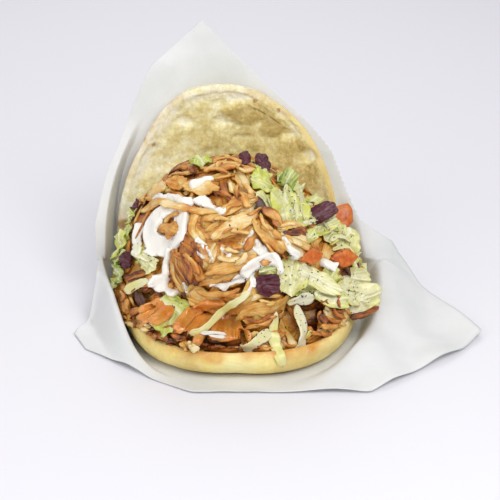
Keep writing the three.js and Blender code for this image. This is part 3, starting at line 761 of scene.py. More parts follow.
def paper_height(x, q):
    """Height of the paper above its flat sheet: walls left and right, and slack folds behind."""
    outside = np.hypot(x, q) - bread_reach(np.arctan2(q, x))
    on_left = smoothstep(-x, 14, 58)
    left_top = PAPER["left_wall"] * smoothstep(q, -148, -72) * (1 - smoothstep(q, 45, 122)) * on_left
    left_wall = left_top * smoothstep(outside, 1.5, 7)
    left_fall = -left_top * smoothstep(outside, 8, 22) * (1 - smoothstep(q, -68, -45))
    right_top = PAPER["right_ridge"] * lerp(0.5, 1, smoothstep(q, -108, 0)) * smoothstep(x, 14, 58)
    right_ends = smoothstep(q, -160, -117) * (1 - smoothstep(q, 22, 68))
    right_wall = right_top * right_ends * smoothstep(outside, 1.5, 16)
    right_fall = -0.95 * right_wall * smoothstep(outside, 18, 52)
    free = smoothstep(outside, 7, 36) * (1 - smoothstep(q, -18, 27))
    creases = 1.3 * free * (1 + np.sin(x * 0.12 + q * 0.07))
    behind = smoothstep(q, 27, 72)
    slack = behind * (1.1 * np.sin(x * 0.07 + q * 0.04) - 1.5 - 4.5 * smoothstep(q, 117, 185))
    slack = slack - 0.7 * behind * (1.0 - crumpled(x, q))
    return left_wall + left_fall + right_wall + right_fall + creases + slack + dome(x, q)


def crumpled(x, q):
    """Sharp shallow creases, as in paper that was once folded up."""
    flat = np.stack([x, q, np.zeros_like(x)], axis=-1)
    large = 1 - 2 * np.abs(noise(flat + 6 * noise(flat, 50, 61)[..., None], 46, 62))
    small = 1 - 2 * np.abs(noise(flat, 21, 63))
    return 0.9 * large + 0.4 * small


def paper_points(angle, r):
    """Points of the paper in some directions from its middle, at one distance each."""
    x = r * np.cos(angle)
    q = r * np.sin(angle)
    outside = np.hypot(x, q) - bread_reach(np.arctan2(q, x))
    loose = smoothstep(outside, 3, 20)
    return folded(x, q, paper_height(x, q) + PAPER["lift"] + 0.9 * loose * (0.8 + crumpled(x, q)))


def make_paper():
    """The sheet of greaseproof paper, pinked along its right edge."""
    angles = spokes(620, math.radians(55), 0.35)
    edge = paper_reach(angles)
    along = np.concatenate([[0], np.cumsum(np.hypot(np.diff(edge), np.diff(angles) * edge[1:]))])
    tooth = np.abs((along / PINKED["pitch"]) % 1 - 0.5) * 2 - 0.5
    wrapped = angles % (2 * math.pi)
    pinked = (wrapped > PINKED["from"]) & (wrapped < PINKED["to"])
    edge = edge + np.where(pinked, PINKED["depth"] * tooth, 0)
    flat_part = bread_reach(angles) - BREAD["lip_reach"]
    outside = edge - bread_reach(angles)
    radii = [share * flat_part for share in np.linspace(0.05, 1, 22)]
    for share in np.linspace(0, 1, 44)[1:]:
        beyond = max(0, (share * 4 - 1) / 3) ** 1.3
        radii.append(flat_part + BREAD["lip_reach"] * min(1, share * 4) + outside * beyond)
    grid = np.array([paper_points(angles, r) for r in radii])
    normals = grid_normals(grid)
    top = grid + normals * PAPER["thickness"]
    middle = folded(np.zeros(1), np.zeros(1), np.full(1, PAPER["lift"]))
    over = middle + normals[0].mean(axis=0) * PAPER["thickness"]
    piece = Joined()
    rings = np.concatenate([grid, top[::-1]])
    piece.add(np.vstack([middle, rings.reshape(-1, 3), over]), ring_faces(len(rings), len(angles)))
    return piece


# The heap's surface

def heading(bearing, rise):
    """Directions from the heap's centre: bearing 0 faces the front and 90 the right; rise is above level."""
    b, r = np.broadcast_arrays(np.radians(bearing), np.radians(rise))
    return np.stack([np.cos(r) * np.sin(b), -np.cos(r) * np.cos(b), np.sin(r)], axis=-1)


# Broad swells and hollows of the heap: bearing, rise, height and how narrow each one is
SWELLS = [(-4, 34, 7, 9), (0, 2, -6, 14), (62, 16, 7, 9), (80, -2, 15, 13), (-76, 4, 7, 10),
          (50, 48, 3.5, 9), (-20, 78, 2, 9)]


def heap_radius(direction):
    """Distance from the heap's centre to the solid heap's surface."""
    forwards = np.maximum(-direction[..., 1], 0) * smoothstep(-direction[..., 2], 0.02, 0.15)
    radius = HEAP_RADIUS + HEAP_FOOT * forwards
    for bearing, rise, height, sharpness in SWELLS:
        radius = radius + height * np.exp(sharpness * (direction @ heading(bearing, rise) - 1))
    return radius


# Where the slices lie lower than the solid heap: bearing, rise, depth and how narrow each dip is
DIPS = [(78, 46, 9, 12), (105, 50, 6, 8), (-100, 10, 3, 8), (86, 0, 8, 16)]


def top_radius(direction):
    """Distance from the heap's centre to where the slices come up to."""
    radius = heap_radius(direction)
    for bearing, rise, depth, sharpness in DIPS:
        radius = radius - depth * np.exp(sharpness * (direction @ heading(bearing, rise) - 1))
    return radius


def seen(place, surface=top_radius):
    """The direction from the heap's centre to what the view shows at a place."""
    aim = sight(place)
    nearest = (HEAP_CENTRE - EYE) @ aim
    path = EYE + aim * (nearest + np.arange(-180, 0, 0.25))[:, None]
    offset = path - HEAP_CENTRE
    inside = np.linalg.norm(offset, axis=-1) < surface(unit(offset))
    first = np.argmax(inside) if inside.any() else len(path) - 1
    return unit(offset[first])


class Terrain:
    """How far from its centre the heap reaches so far, on an equal-area map of directions."""

    FACING = heading(0, 38)
    RIGHT = np.array([1.0, 0.0, 0.0])
    UP = np.cross(RIGHT, FACING) * -1.0
    SIZE = 460
    HALF = 2.02

    def __init__(self):
        axis = np.linspace(-self.HALF, self.HALF, self.SIZE)
        u, v = np.meshgrid(axis, axis, indexing="ij")
        self.directions = self.heading_at(u, v)
        self.height = np.zeros(u.shape)

    def plane(self, direction):
        """Where directions lie on the flat map, in units of the heap's radius."""
        ahead = 1 + direction @ self.FACING
        k = np.sqrt(2 / np.maximum(ahead, 1e-3))
        opposite = ahead < 0.01
        u = np.where(opposite, 1.99, k * (direction @ self.RIGHT))
        v = np.where(opposite, 0.0, k * (direction @ self.UP))
        return u, v

    def cells(self, direction):
        """Which cells of the map directions fall in, in parts of a cell."""
        u, v = self.plane(direction)
        scale = (self.SIZE - 1) / (2 * self.HALF)
        last = self.SIZE - 1.001
        return np.clip((u + self.HALF) * scale, 0, last), np.clip((v + self.HALF) * scale, 0, last)

    def heading_at(self, u, v):
        """The directions at some places of the flat map."""
        far = np.minimum(u**2 + v**2, 3.98)
        side = np.sqrt(1 - far / 4)
        spread = np.sqrt(far / np.maximum(u**2 + v**2, 1e-9))
        return (
            (1 - far / 2)[..., None] * self.FACING
            + (side * u * spread)[..., None] * self.RIGHT
            + (side * v * spread)[..., None] * self.UP
        )

    def read(self, direction, field=None):
        """The height in some directions, between the map's cells."""
        field = self.height if field is None else field
        u, v = self.cells(direction)
        i, j = u.astype(int), v.astype(int)
        s, t = u - i, v - j
        low = lerp(field[i, j], field[i, np.minimum(j + 1, self.SIZE - 1)], t)
        high = lerp(field[np.minimum(i + 1, self.SIZE - 1), j], field[i + 1, j + 1], t)
        return lerp(low, high, s)

    def raise_to(self, points):
        """Lifts the map to the tops of some points."""
        offset = points - HEAP_CENTRE
        radius = np.linalg.norm(offset, axis=-1)
        u, v = self.cells(offset / radius[..., None])
        for du in (0, 1):
            for dv in (0, 1):
                np.maximum.at(self.height, (u.astype(int) + du, v.astype(int) + dv), radius)

    def soft(self, sigma):
        """The map smoothed over some millimetres."""
        return blurred(self.height, sigma / 0.75)


def bread_limit(bread, directions):
    """How far the bread's inner side lies from the heap's centre in some directions."""
    centre = Vector(HEAP_CENTRE)
    flat = directions.reshape(-1, 3)
    reach = np.full(len(flat), 400.0)
    for i, direction in enumerate(flat.tolist()):
        hit = bread.ray_cast(centre, Vector(direction))
        if hit[0] is not None:
            reach[i] = hit[3]
    return reach.reshape(directions.shape[:-1])


def core_radius(direction, limit):
    """The heap's core, inside the bread, lumpy like packed meat."""
    lumps = 2.2 * layered(direction * HEAP_RADIUS, 11, 71, 3)
    return np.minimum(top_radius(direction) - CORE_DEPTH + lumps, limit - 0.6)


def add_round(out, radius_of, tone):
    """A closed body round the heap's centre, with its distance given for each direction."""
    rises = np.concatenate([np.linspace(-86, -30, 16), np.linspace(-28, 86, 84)])
    bearings = np.linspace(0, 360, 240, endpoint=False)
    grid = heading(bearings[None, :], rises[:, None])
    ends = heading(np.zeros(2), np.array([-90.0, 90.0]))
    directions = np.vstack([ends[:1], grid.reshape(-1, 3), ends[1:]])
    points = HEAP_CENTRE + directions * radius_of(directions)[:, None]
    grain = points * np.array([0.3, 0.3, 0.8])
    edge = np.clip(0.5 + 0.6 * noise(points, 4, 77), 0, 1)
    out.add(points, ring_faces(len(rises), len(bearings)), tone=tone, edge=edge, grain=grain)


# Pieces laid on the heap

def local_place(middle, turn):
    """A map round one direction from the heap's centre: offsets along and across become directions."""
    level = unit(np.array([-middle[1], middle[0], 0.0]))
    up = np.cross(middle, level)
    c, s = math.cos(math.radians(turn)), math.sin(math.radians(turn))
    along = level * c + up * s
    over = up * c - level * s
    scale = 1 / heap_radius(middle)

    def place(a, b):
        return unit(middle + np.multiply.outer(a, along) * scale + np.multiply.outer(b, over) * scale)

    return place


def turned_to_view(points, outwards, share):
    """Points turned about their middle so that what looked outwards looks more towards the view."""
    axis = np.cross(outwards, BACK)
    angle = math.asin(min(1.0, np.linalg.norm(axis))) * share
    axis = unit(axis)
    middle = points.reshape(-1, 3).mean(axis=0)
    offset = points - middle
    along = (offset @ axis)[..., None] * axis
    across = np.cross(np.broadcast_to(axis, offset.shape), offset)
    return middle + along + (offset - along) * math.cos(angle) + across * math.sin(angle)


def two_sided(rows):
    """Values of the rings of a sheet's top, given to its underside too."""
    return closed_values(np.concatenate([rows, rows[::-1]]))


def strip_section(t, length, width, thick, seed, sides, blunt, lobes, ridges, cup):
    """The flattened section of a strip all along it: its points across and out, its crests and its edge."""
    profile = np.maximum(np.clip(1 - np.abs(2 * t - 1) ** blunt, 0, 1) ** 0.5, 0.05)
    uneven = 1 + 0.28 * wobble(t * length, 7, seed + 2) + 0.2 * wobble(t * length, 2.6, seed + 7)
    wide = width / 2 * profile * uneven
    deep = thick / 2 * np.maximum(profile, 0.2) ** 0.8 * (1 + 0.25 * wobble(t * length, 5, seed + 3))
    phi = (np.arange(sides) + 0.5) / sides * 2 * math.pi
    ca, sa = np.cos(phi), np.sin(phi)
    across = np.sign(ca) * np.abs(ca) ** 0.8
    up = np.sign(sa) * np.abs(sa) ** 0.65
    twist = 1.6 * wobble(t * length, 13, seed + 5)[:, None]
    crest = np.sin(lobes * math.pi * across + twist + seed) * np.abs(sa) ** 0.5
    frayed = (1 - profile[:, None]) * 0.8
    return {
        "a": wide[:, None] * across * (1 + 0.08 * np.sin(5 * phi + seed + 2 * twist)),
        "b": deep[:, None] * (up + ridges * crest) + cup * wide[:, None] * (across**2 - 0.4),
        "across": across,
        "crest": crest,
        "edge": np.clip(np.abs(across) ** 3 + frayed - 0.5 * ridges * crest, 0, 1),
        "flat_across": across * wide[:, None] * 0.85,
        "height": sa * 0.4,
    }


def leaf_veins(a, b, flat, length, width, ribs, seed):
    """From 0 to 1, where the veins of a leaf run as they fan out from its foot."""
    bent = 0.6 * noise(flat, 9, seed + 4)
    veins = np.zeros_like(a)
    for k in np.linspace(-1, 1, ribs):
        line = b - k * width * 0.42 * (0.35 + 0.65 * (a / length + 0.5)) - bent
        strength = 0.5 + 0.5 * (abs(k) < 0.2)
        veins = np.maximum(veins, np.exp(-((line / strength) ** 2)) * strength)
    return veins


class Heap:
    """What has been laid so far, and how to lay more on it."""

    def __init__(self, bread):
        self.bread = BVHTree.FromPolygons(np.vstack(bread.points).tolist(), bread.faces)
        self.map = Terrain()
        self.limit = bread_limit(self.bread, self.map.directions)
        self.map.height = core_radius(self.map.directions, self.limit)

    def point(self, place):
        """A point in space for a place in the view, or the point itself."""
        if len(place) == 3:
            return np.asarray(place, float)
        direction = self.shown(place)
        return HEAP_CENTRE + direction * top_radius(direction)

    def shown(self, place):
        """The direction from the heap's centre to what has been laid and shows at a place of the view."""
        return seen(place, self.map.read)

    def reach_at(self, place):
        """How far from the eye the view meets the heap or the bread at a place, or None."""
        aim = sight(place)
        reaches = VIEW["distance"] + np.arange(-260, 160, 0.25)
        offset = EYE + aim * reaches[:, None] - HEAP_CENTRE
        radius = np.linalg.norm(offset, axis=-1)
        inside = radius < self.map.read(offset / radius[:, None])
        met = [reaches[np.argmax(inside)]] if inside.any() else []
        hit = self.bread.ray_cast(Vector(EYE), Vector(aim))
        if hit[0] is not None:
            met.append(hit[3])
        return min(met) if met else None

    def add_core(self, out):
        """The body of packed meat that everything else lies on."""

        def radius(directions):
            return core_radius(directions, self.map.read(directions, self.limit))

        add_round(out, radius, 0.5)

    def pack(self, out, below, sigma, place=None, across=1.0, tall=1.0):
        """A body just below the tops of the slices laid so far, all over or round one place."""
        facing_front = smoothstep(-self.map.directions[..., 1], 0.3, 0.6)
        low_front = facing_front * smoothstep(-self.map.directions[..., 2], -0.3, -0.05)
        aside = smoothstep(self.map.directions[..., 1], -0.5, -0.05)
        level = self.map.soft(sigma) - below - 2.6 * low_front - 1.2 * aside
        base = core_radius(self.map.directions, self.limit) - 1.0
        level = np.maximum(np.minimum(level, self.limit - 0.8), base)
        level = np.where(self.map.directions[..., 2] < -0.3, base, level)
        if place is not None:
            right, up = shown_at(HEAP_CENTRE + self.map.directions * self.map.height[..., None])
            far = np.hypot((right - place[0]) / across, (up - place[1]) / tall)
            behind = self.map.directions @ BACK < 0.1
            level = lerp(level, base, np.maximum(smoothstep(far, 0.85, 1.1), behind))

        def radius(directions):
            return self.map.read(directions, level) + 0.5 * layered(directions * HEAP_RADIUS, 5, 78, 3)

        add_round(out, radius, 0.5)
        self.map.height = np.maximum(self.map.height, level)

    def inside_bread(self, points, ceiling=None):
        """The points, moved in where they would reach into the bread or far above the heap's surface."""
        offset = points - HEAP_CENTRE
        radius = np.linalg.norm(offset, axis=-1, keepdims=True)
        direction = offset / radius
        if ceiling is not None:
            soft_from = top_radius(direction)[..., None] + ceiling - 2.0
            eased = soft_from + 2.0 * np.tanh((radius - soft_from) / 2.6)
            radius = np.where(radius > soft_from, eased, radius)
        limit = self.map.read(direction, self.limit)[..., None] - 0.5
        return HEAP_CENTRE + direction * np.minimum(radius, limit)

    def rest_height(self, direction, side, width, sigma):
        """How high a slightly stiff strip lies along some directions."""
        offsets = [side * (width * share / HEAP_RADIUS) for share in (-0.36, 0, 0.36)]
        reads = [self.map.read(unit(direction + offset)) for offset in offsets]
        tallest = np.maximum.reduce(reads)
        middle = lerp(np.mean(reads, axis=0), tallest, 0.65)
        padded = np.pad(middle, 2, "edge")
        lifted = np.maximum.reduce([padded[k : k + len(middle)] for k in range(5)])
        return blurred(lerp(middle, lifted, 0.6), sigma)

    def laid_down(self, line, drift, width, above, step):
        """A strip's middle line, moved aside by some drift and laid on the heap, and which way is out."""
        out_way = unit(line - HEAP_CENTRE)
        side = unit(np.cross(unit(np.gradient(line, axis=0)), out_way))
        direction = unit(out_way + side * drift[:, None] / HEAP_RADIUS)
        rest = self.rest_height(direction, side, width, max(1.0, 4.0 / step))
        return HEAP_CENTRE + direction * (rest + above)[:, None], direction

    def strip(self, out, path, width, thick, seed, tone=0.4, roll=0.0, cup=0.0, lobes=2.6, ridges=0.3,
              blunt=2.4, sides=16, step=1.4, sink=0.3, free=False, wander=0.8, shift=(0.0, 0.0),
              fringe=0.5, leafy=False, ceiling=None):
        """A long piece with a flattened, fibrous section and torn ends, of meat or of leaf."""
        line, length = spline([self.point(place) for place in path], step)
        t = np.linspace(0, 1, len(line))
        out_way = unit(line - HEAP_CENTRE)
        if not free:
            drift = wander * wobble(t * length, 9, seed + 1) + lerp(shift[0], shift[1], t)
            line, out_way = self.laid_down(line, drift, width, thick * (0.5 - sink), step)
        tangent = unit(np.gradient(line, axis=0))
        side = unit(np.cross(tangent, out_way))
        out_way = np.cross(side, tangent)
        section = strip_section(t, length, width, thick, seed, sides, blunt, lobes, ridges, cup)
        a, b = section["a"], section["b"]
        lean = math.radians(roll) + 0.35 * wobble(t * length, 16, seed + 4)
        c, s = np.cos(lean)[:, None], np.sin(lean)[:, None]
        rings = line[:, None] + side[:, None] * (a * c - b * s)[..., None]
        rings = rings + out_way[:, None] * (a * s + b * c)[..., None]
        torn = smoothstep(np.abs(2 * t - 1), 0.55, 1) * np.sign(2 * t - 1) * fringe * width * 0.5
        threads = wobble(section["across"] * 2.1 + 40 * (t[:, None] > 0.5), 0.55, seed + 6)
        rings = rings + tangent[:, None] * (torn[:, None] * threads)[..., None]
        ends = [rings[0].mean(axis=0), rings[-1].mean(axis=0)]
        points = np.vstack([ends[:1], rings.reshape(-1, 3), ends[1:]])
        if not free:
            points = self.inside_bread(points, ceiling)
        faces = ring_faces(len(line), sides)
        if leafy:
            out.add(points, faces, vein=closed_values(np.clip(section["crest"], 0, 1)), green=tone)
        else:
            along = t[:, None] * length
            varied = tone + 0.15 * wobble(t * length, 11, seed + 8)[:, None] + 0 * a
            offset = seed * 3.7 + section["height"]
            grain = np.stack([along * 0.09 + 0 * a, section["flat_across"], offset + 0 * a], axis=-1)
            out.add(points, faces, tone=closed_values(varied), edge=closed_values(section["edge"]),
                    grain=closed_values(grain))
        self.map.raise_to(points)
        self.map.raise_to(((rings[1:] + rings[:-1]) / 2).reshape(-1, 3))

    def hanging_strip(self, out, path, width, thick, tone, lift, seed):
        """A strip that follows what the view shows, also where it hangs over the bread's rim."""
        line = []
        for place in path:
            reach = self.reach_at(place) or reach
            line.append(EYE + sight(place) * (reach - lift))
        self.strip(out, line, width, thick, seed, tone=tone, ridges=0.25, lobes=3.0, blunt=7.0,
                   free=True, fringe=0.2)

    def slice_of_meat(self, out, path, width, thick, seed, tone, roll, cup, fibres=1.0):
        """A slice of meat: a torn flat strip and some fibres that have come loose along it."""
        random = np.random.default_rng(seed)
        thick = thick * 0.55
        roll = roll + random.uniform(-14, 14)
        self.strip(
            out, path, width * 1.25, thick, seed, tone=tone, roll=roll, cup=cup, sides=20, ridges=0.3,
            lobes=random.uniform(1.3, 2.4), blunt=random.uniform(3.5, 8), fringe=1.0, sink=0.42,
        )
        count = int(round(0.45 * fibres * width / 3.6))
        for k in range(count):
            offset = ((k + 0.5) / count - 0.5) * width * 1.1
            ends = (offset + random.uniform(-1.2, 1.2), offset + random.uniform(-1.2, 1.2))
            line, _ = spline([self.point(place) for place in path], 1.0, 200)
            first = int(random.uniform(0, 0.3) * len(line))
            last = int(random.uniform(0.7, 1) * len(line)) - 1
            picked = line[np.linspace(first, last, 5).astype(int)]
            self.strip(
                out, picked, random.uniform(2.2, 4.6), random.uniform(1.0, 1.7), seed * 31 + k,
                tone=tone + random.uniform(-0.2, 0.16), roll=random.uniform(-30, 30), lobes=1.2, ridges=0.2,
                sides=9, step=1.8, shift=ends, sink=0.45, blunt=6.0,
            )

    def leaf(self, out, at, turn, length, width, seed, wave=2.7, green=0.4, thick=0.7, lift=1.0, ribs=5,
             torn=0.14, spokes_round=64, rows=13, stiff=3.5, over_rim=False, stand=0.0, tone=None,
             facing=0.0):
        """A torn piece of leaf, or of meat where it has a tone, ruffled towards its edge."""
        place = local_place(self.shown(at), turn)
        theta = np.arange(spokes_round) / spokes_round * 2 * math.pi
        share = np.linspace(0, 1, rows + 1)[1:, None]
        square = 2.6 if tone is None else 1.8
        box = (np.abs(np.cos(theta)) ** square + np.abs(np.sin(theta)) ** square) ** (-1 / square)
        ragged = 1 + torn * wobble(theta * 3, 1.2, seed) + 0.5 * torn * wobble(theta * 9, 1.0, seed + 1)
        closing = np.minimum(theta, 2 * math.pi - theta) / 0.5
        ragged = lerp(1.0, ragged, np.clip(closing, 0, 1))
        a = share * (length / 2 * box * ragged * np.cos(theta))
        b = share * (width / 2 * box * ragged * np.sin(theta))
        flat = np.stack([a, b, np.full_like(a, seed * 1.7)], axis=-1)
        ruffle = wave * share**1.6 * (0.5 + 0.5 * np.sin(theta * 6 + 3 * noise(flat, 8, seed + 2)))
        ruffle = ruffle + 0.5 * wave * noise(flat, 7, seed + 3) + 0.25 * wave * noise(flat, 3.4, seed + 6)
        veins = leaf_veins(a, b, flat, length, width, ribs, seed) if tone is None else np.zeros_like(a)
        height = lift + ruffle + 0.55 * veins
        height = height + stand * np.clip(0.3 + b / width, 0, 1) ** 1.3
        direction = place(a, b)
        soft = self.map.soft(stiff)
        ground = lerp(self.map.read(direction, soft), self.map.read(direction), 0.25)
        radius = ground + height
        full = thick * (1 + 0.8 * veins)
        top = HEAP_CENTRE + direction * (radius + full)[..., None]
        under = HEAP_CENTRE + direction * radius[..., None]
        middle = place(np.zeros(1), np.zeros(1))
        base = radius[0].mean()
        rings = np.concatenate([top, under[::-1]])
        points = np.vstack([HEAP_CENTRE + middle * (base + thick), rings.reshape(-1, 3),
                            HEAP_CENTRE + middle * base])
        if facing:
            points = turned_to_view(points, middle[0], facing)
            top = points[1 : 1 + top.shape[0] * top.shape[1]].reshape(top.shape)
        if not over_rim:
            points = self.inside_bread(points)
        faces = ring_faces(len(rings), spokes_round)
        if tone is None:
            mottled = green + 0.16 * noise(flat, 9, seed + 5) + 0.2 * (share**2 - 0.4) + 0 * a
            out.add(points, faces, vein=two_sided(veins), green=two_sided(np.clip(mottled, 0, 1)))
        else:
            grain = np.stack([two_sided(v) for v in (a * 0.09, b * 0.8, 0 * a + seed * 1.3)], axis=-1)
            edge = two_sided(np.clip(share**5 + 0.5 * noise(flat, 5, seed + 7), 0, 1) + 0 * a)
            out.add(points, faces, tone=tone, edge=edge, grain=grain)
        self.map.raise_to(top.reshape(-1, 3))

    def chunk(self, out, at, turn, length, width, thick, seed, corners=5, lift=-0.4, spokes_round=48,
              over_rim=False, facing=0.0):
        """A chunk with flat cut sides and soft edges, such as diced tomato."""
        place = local_place(self.shown(at), turn)
        theta = np.arange(spokes_round) / spokes_round * 2 * math.pi
        sector = 2 * math.pi / corners
        skew = theta + 0.22 * np.sin(theta * 2 + seed)
        local = (skew % sector) - sector / 2
        outline = (math.cos(sector / 2) / np.cos(local)) ** 0.85 * (1 + 0.05 * np.sin(3 * theta + seed))
        outline = outline / outline.max()
        levels = np.linspace(-1, 1, 11)
        bevel = (1 - np.abs(levels) ** 7) ** (1 / 7) * 0.25 + 0.75
        bevel[0] = bevel[-1] = 0.82
        rings = [(levels[0], share) for share in (0.25, 0.55)]
        rings += [(level, share) for level, share in zip(levels, bevel)]
        rings += [(levels[-1], share) for share in (0.55, 0.25)]
        soft = self.map.soft(4.0)
        centre = place(np.zeros(1), np.zeros(1))
        base = float(self.map.read(centre, soft)[0]) + lift
        grid = []
        for level, share in rings:
            a = share * outline * np.cos(theta) * length / 2
            b = share * outline * np.sin(theta) * width / 2
            direction = place(a, b)
            ground = lerp(base, self.map.read(direction, soft) + lift, 0.5)
            flat = np.stack([a, b, np.full_like(a, level * thick + seed * 5.1)], axis=-1)
            bumps = 0.35 * noise(flat, 4.0, seed) + 0.18 * noise(flat, 1.6, seed + 1)
            grid.append(HEAP_CENTRE + direction * (ground + (level + 1) / 2 * thick + bumps)[:, None])
        grid = np.array(grid)
        if facing:
            grid = turned_to_view(grid, centre[0], facing)
        ends = [grid[0].mean(axis=0), grid[-1].mean(axis=0)]
        points = np.vstack([ends[:1], grid.reshape(-1, 3), ends[1:]])
        if not over_rim:
            points = self.inside_bread(points)
        out.add(points, ring_faces(len(grid), spokes_round))
        self.map.raise_to(grid.reshape(-1, 3))

    def sauce(self, out, runs, thick, seed, holes=(), fill=0.85, cell=0.6, shoulder=2.6):
        """Thick sauce over an area: it fills the hollows below it and stands up with a rounded edge."""
        stations = [self.stations(places, radius) for radius, places in runs]
        around = np.vstack([spots for spots, _ in stations])
        u, v = self.map.plane(around)
        margin = (max(radius for radius, _ in runs) + 3.0) / HEAP_RADIUS
        step = cell / HEAP_RADIUS
        u, v = np.meshgrid(
            np.arange(u.min() - margin, u.max() + margin, step),
            np.arange(v.min() - margin, v.max() + margin, step),
            indexing="ij",
        )
        inside = self.inside_runs(stations, u, v, seed)
        for radius, places in holes:
            inside = np.minimum(inside, -self.inside_runs([self.stations(places, radius)], u, v, seed + 5))
        cells = joined_cells(inside)
        full = np.zeros(u.shape, int)
        for di in (0, 1):
            for dj in (0, 1):
                full[di : full.shape[0] - 1 + di, dj : full.shape[1] - 1 + dj] += cells
        used = full > 0
        rim = used & (full < 4)
        slope_u, slope_v = np.gradient(inside, cell)
        steep = np.maximum(slope_u**2 + slope_v**2, 0.2)
        move = np.clip(-inside / steep, -0.8 * cell, 0.8 * cell)
        u = np.where(rim, u + move * slope_u / HEAP_RADIUS, u)
        v = np.where(rim, v + move * slope_v / HEAP_RADIUS, v)
        direction = self.map.heading_at(u, v)
        ground = self.map.read(direction)
        level = self.map.read(direction, self.map.soft(1.2 + 1.2 * thick))
        filled = np.maximum(lerp(ground, level, fill), ground - 0.6 * thick)
        share = np.clip(inside / shoulder, 0, 1)
        dome = np.sqrt(np.clip(1 - (1 - share) ** 2, 0, 1))
        swell = 1 + 0.25 * noise(direction * HEAP_RADIUS, 6, seed + 2)
        top = np.where(rim, ground + 0.08, filled + thick * dome * swell)
        under = np.minimum(ground, top) - 0.8
        index = np.cumsum(used.ravel()).reshape(used.shape) - 1
        upper = (HEAP_CENTRE + direction * top[..., None])[used]
        lower = (HEAP_CENTRE + direction * under[..., None])[used]
        points = self.inside_bread(np.vstack([upper, lower]))
        faces = slab_faces(cells, index, len(upper))
        out.add(points, faces)
        self.map.raise_to(upper)

    def stations(self, places, radius):
        """Directions close together along a run of sauce, and its radius there."""
        line, _ = spline([self.point(place) for place in places], 1.0, 200)
        return unit(line - HEAP_CENTRE), radius

    def inside_runs(self, stations, u, v, seed):
        """How far inside the edge of some runs of sauce each place of the map is."""
        direction = self.map.heading_at(u, v)
        softness = 0.9
        total = np.zeros(u.shape)
        for spots, radius in stations:
            apart = np.linalg.norm(direction[:, :, None] - spots, axis=-1) * HEAP_RADIUS
            total = total + np.exp((radius - apart.min(axis=-1)) / softness)
        edge = softness * np.log(np.maximum(total, 1e-30))
        ragged = 0.9 * noise(direction * HEAP_RADIUS, 6, seed)
        return edge + ragged + 0.35 * noise(direction * HEAP_RADIUS, 2.2, seed + 1)


def joined_cells(inside):
    """The grid's cells that lie inside, with no two that touch at a corner alone."""
    keep = inside > 0
    cells = keep[:-1, :-1] & keep[1:, :-1] & keep[:-1, 1:] & keep[1:, 1:]
    for _ in range(6):
        a, b, c, d = cells[:-1, :-1], cells[1:, 1:], cells[1:, :-1], cells[:-1, 1:]
        first = a & b & ~c & ~d
        second = c & d & ~a & ~b
        cells[:-1, :-1][second] = True
        cells[1:, :-1][first] = True
    return cells


def slab_faces(cells, index, count):
    """Faces of a slab over some cells of a grid: its top, its underside and the walls between."""
    i, j = np.nonzero(cells)
    a, b, c, d = index[i, j], index[i + 1, j], index[i + 1, j + 1], index[i, j + 1]
    faces = np.stack([a, b, c, d], axis=-1).tolist() + (np.stack([d, c, b, a], axis=-1) + count).tolist()
    padded = np.pad(cells, 1)
    for di, dj, first, last in ((0, -1, a, b), (1, 0, b, c), (0, 1, c, d), (-1, 0, d, a)):
        open_side = ~padded[i + 1 + di, j + 1 + dj]
        p, q = first[open_side], last[open_side]
        faces += np.stack([q, p, p + count, q + count], axis=-1).tolist()
    return faces


# Slices of chicken that show, each as width, thickness, tone from pale 0 to dark 1, roll, cup, and its path
MEAT_BACK = [
    (9.5, 4.5, 0.72, 0, 0.1, [(-55, 53.5), (-47, 57.5), (-39, 53.5)]),
    (10, 3.5, 0.3, 10, 0.15, [(-59, 43), (-51.5, 48), (-41, 51.5)]),
    (8, 3, 0.48, -12, 0.2, [(-73, 32.5), (-68, 40.5), (-57.5, 48)]),
    (7, 3, 0.35, 0, 0.1, [(-69.5, 37.5), (-60.5, 41.5), (-51.5, 41.5)]),
    (6, 3, 0.25, 15, 0.1, [(-33.5, 47), (-23.5, 50), (-12, 52)]),
    (6, 3, 0.3, -10, 0.1, [(-29, 55), (-18, 57.5), (-6, 58.5)]),
    (5, 3, 0.42, 0, 0.0, [(-26.5, 60.5), (-16.5, 62.5), (-7, 60.5)]),
    (9.5, 4, 0.33, -8, 0.25, [(-46, 41.5), (-36, 43.5), (-23.5, 41.5)]),
    (8.5, 4, 0.92, 20, 0.1, [(-25, 41.5), (-16.5, 37.5), (-9.5, 32.5)]),
    (6, 3, 0.12, 25, 0.2, [(-14.5, 47), (-12, 41.5), (-8.5, 35.5)]),
    (6.5, 3, 0.2, -20, 0.2, [(-7.5, 56), (-5, 47), (-1.5, 36)]),
    (6, 3, 0.36, 10, 0.1, [(-5, 59), (0, 51.5), (3.5, 40.5)]),
    (6, 3, 0.45, 0, 0.1, [(-54, 37.5), (-48.5, 34.5), (-40.5, 32)]),
    (5, 3, 0.5, 0, 0.1, [(1.5, 44.5), (8.5, 39), (15.5, 33.5)]),
    (5, 3, 0.55, 0, 0.1, [(-9.5, 33.5), (-4, 34.5), (4, 36)]),
]
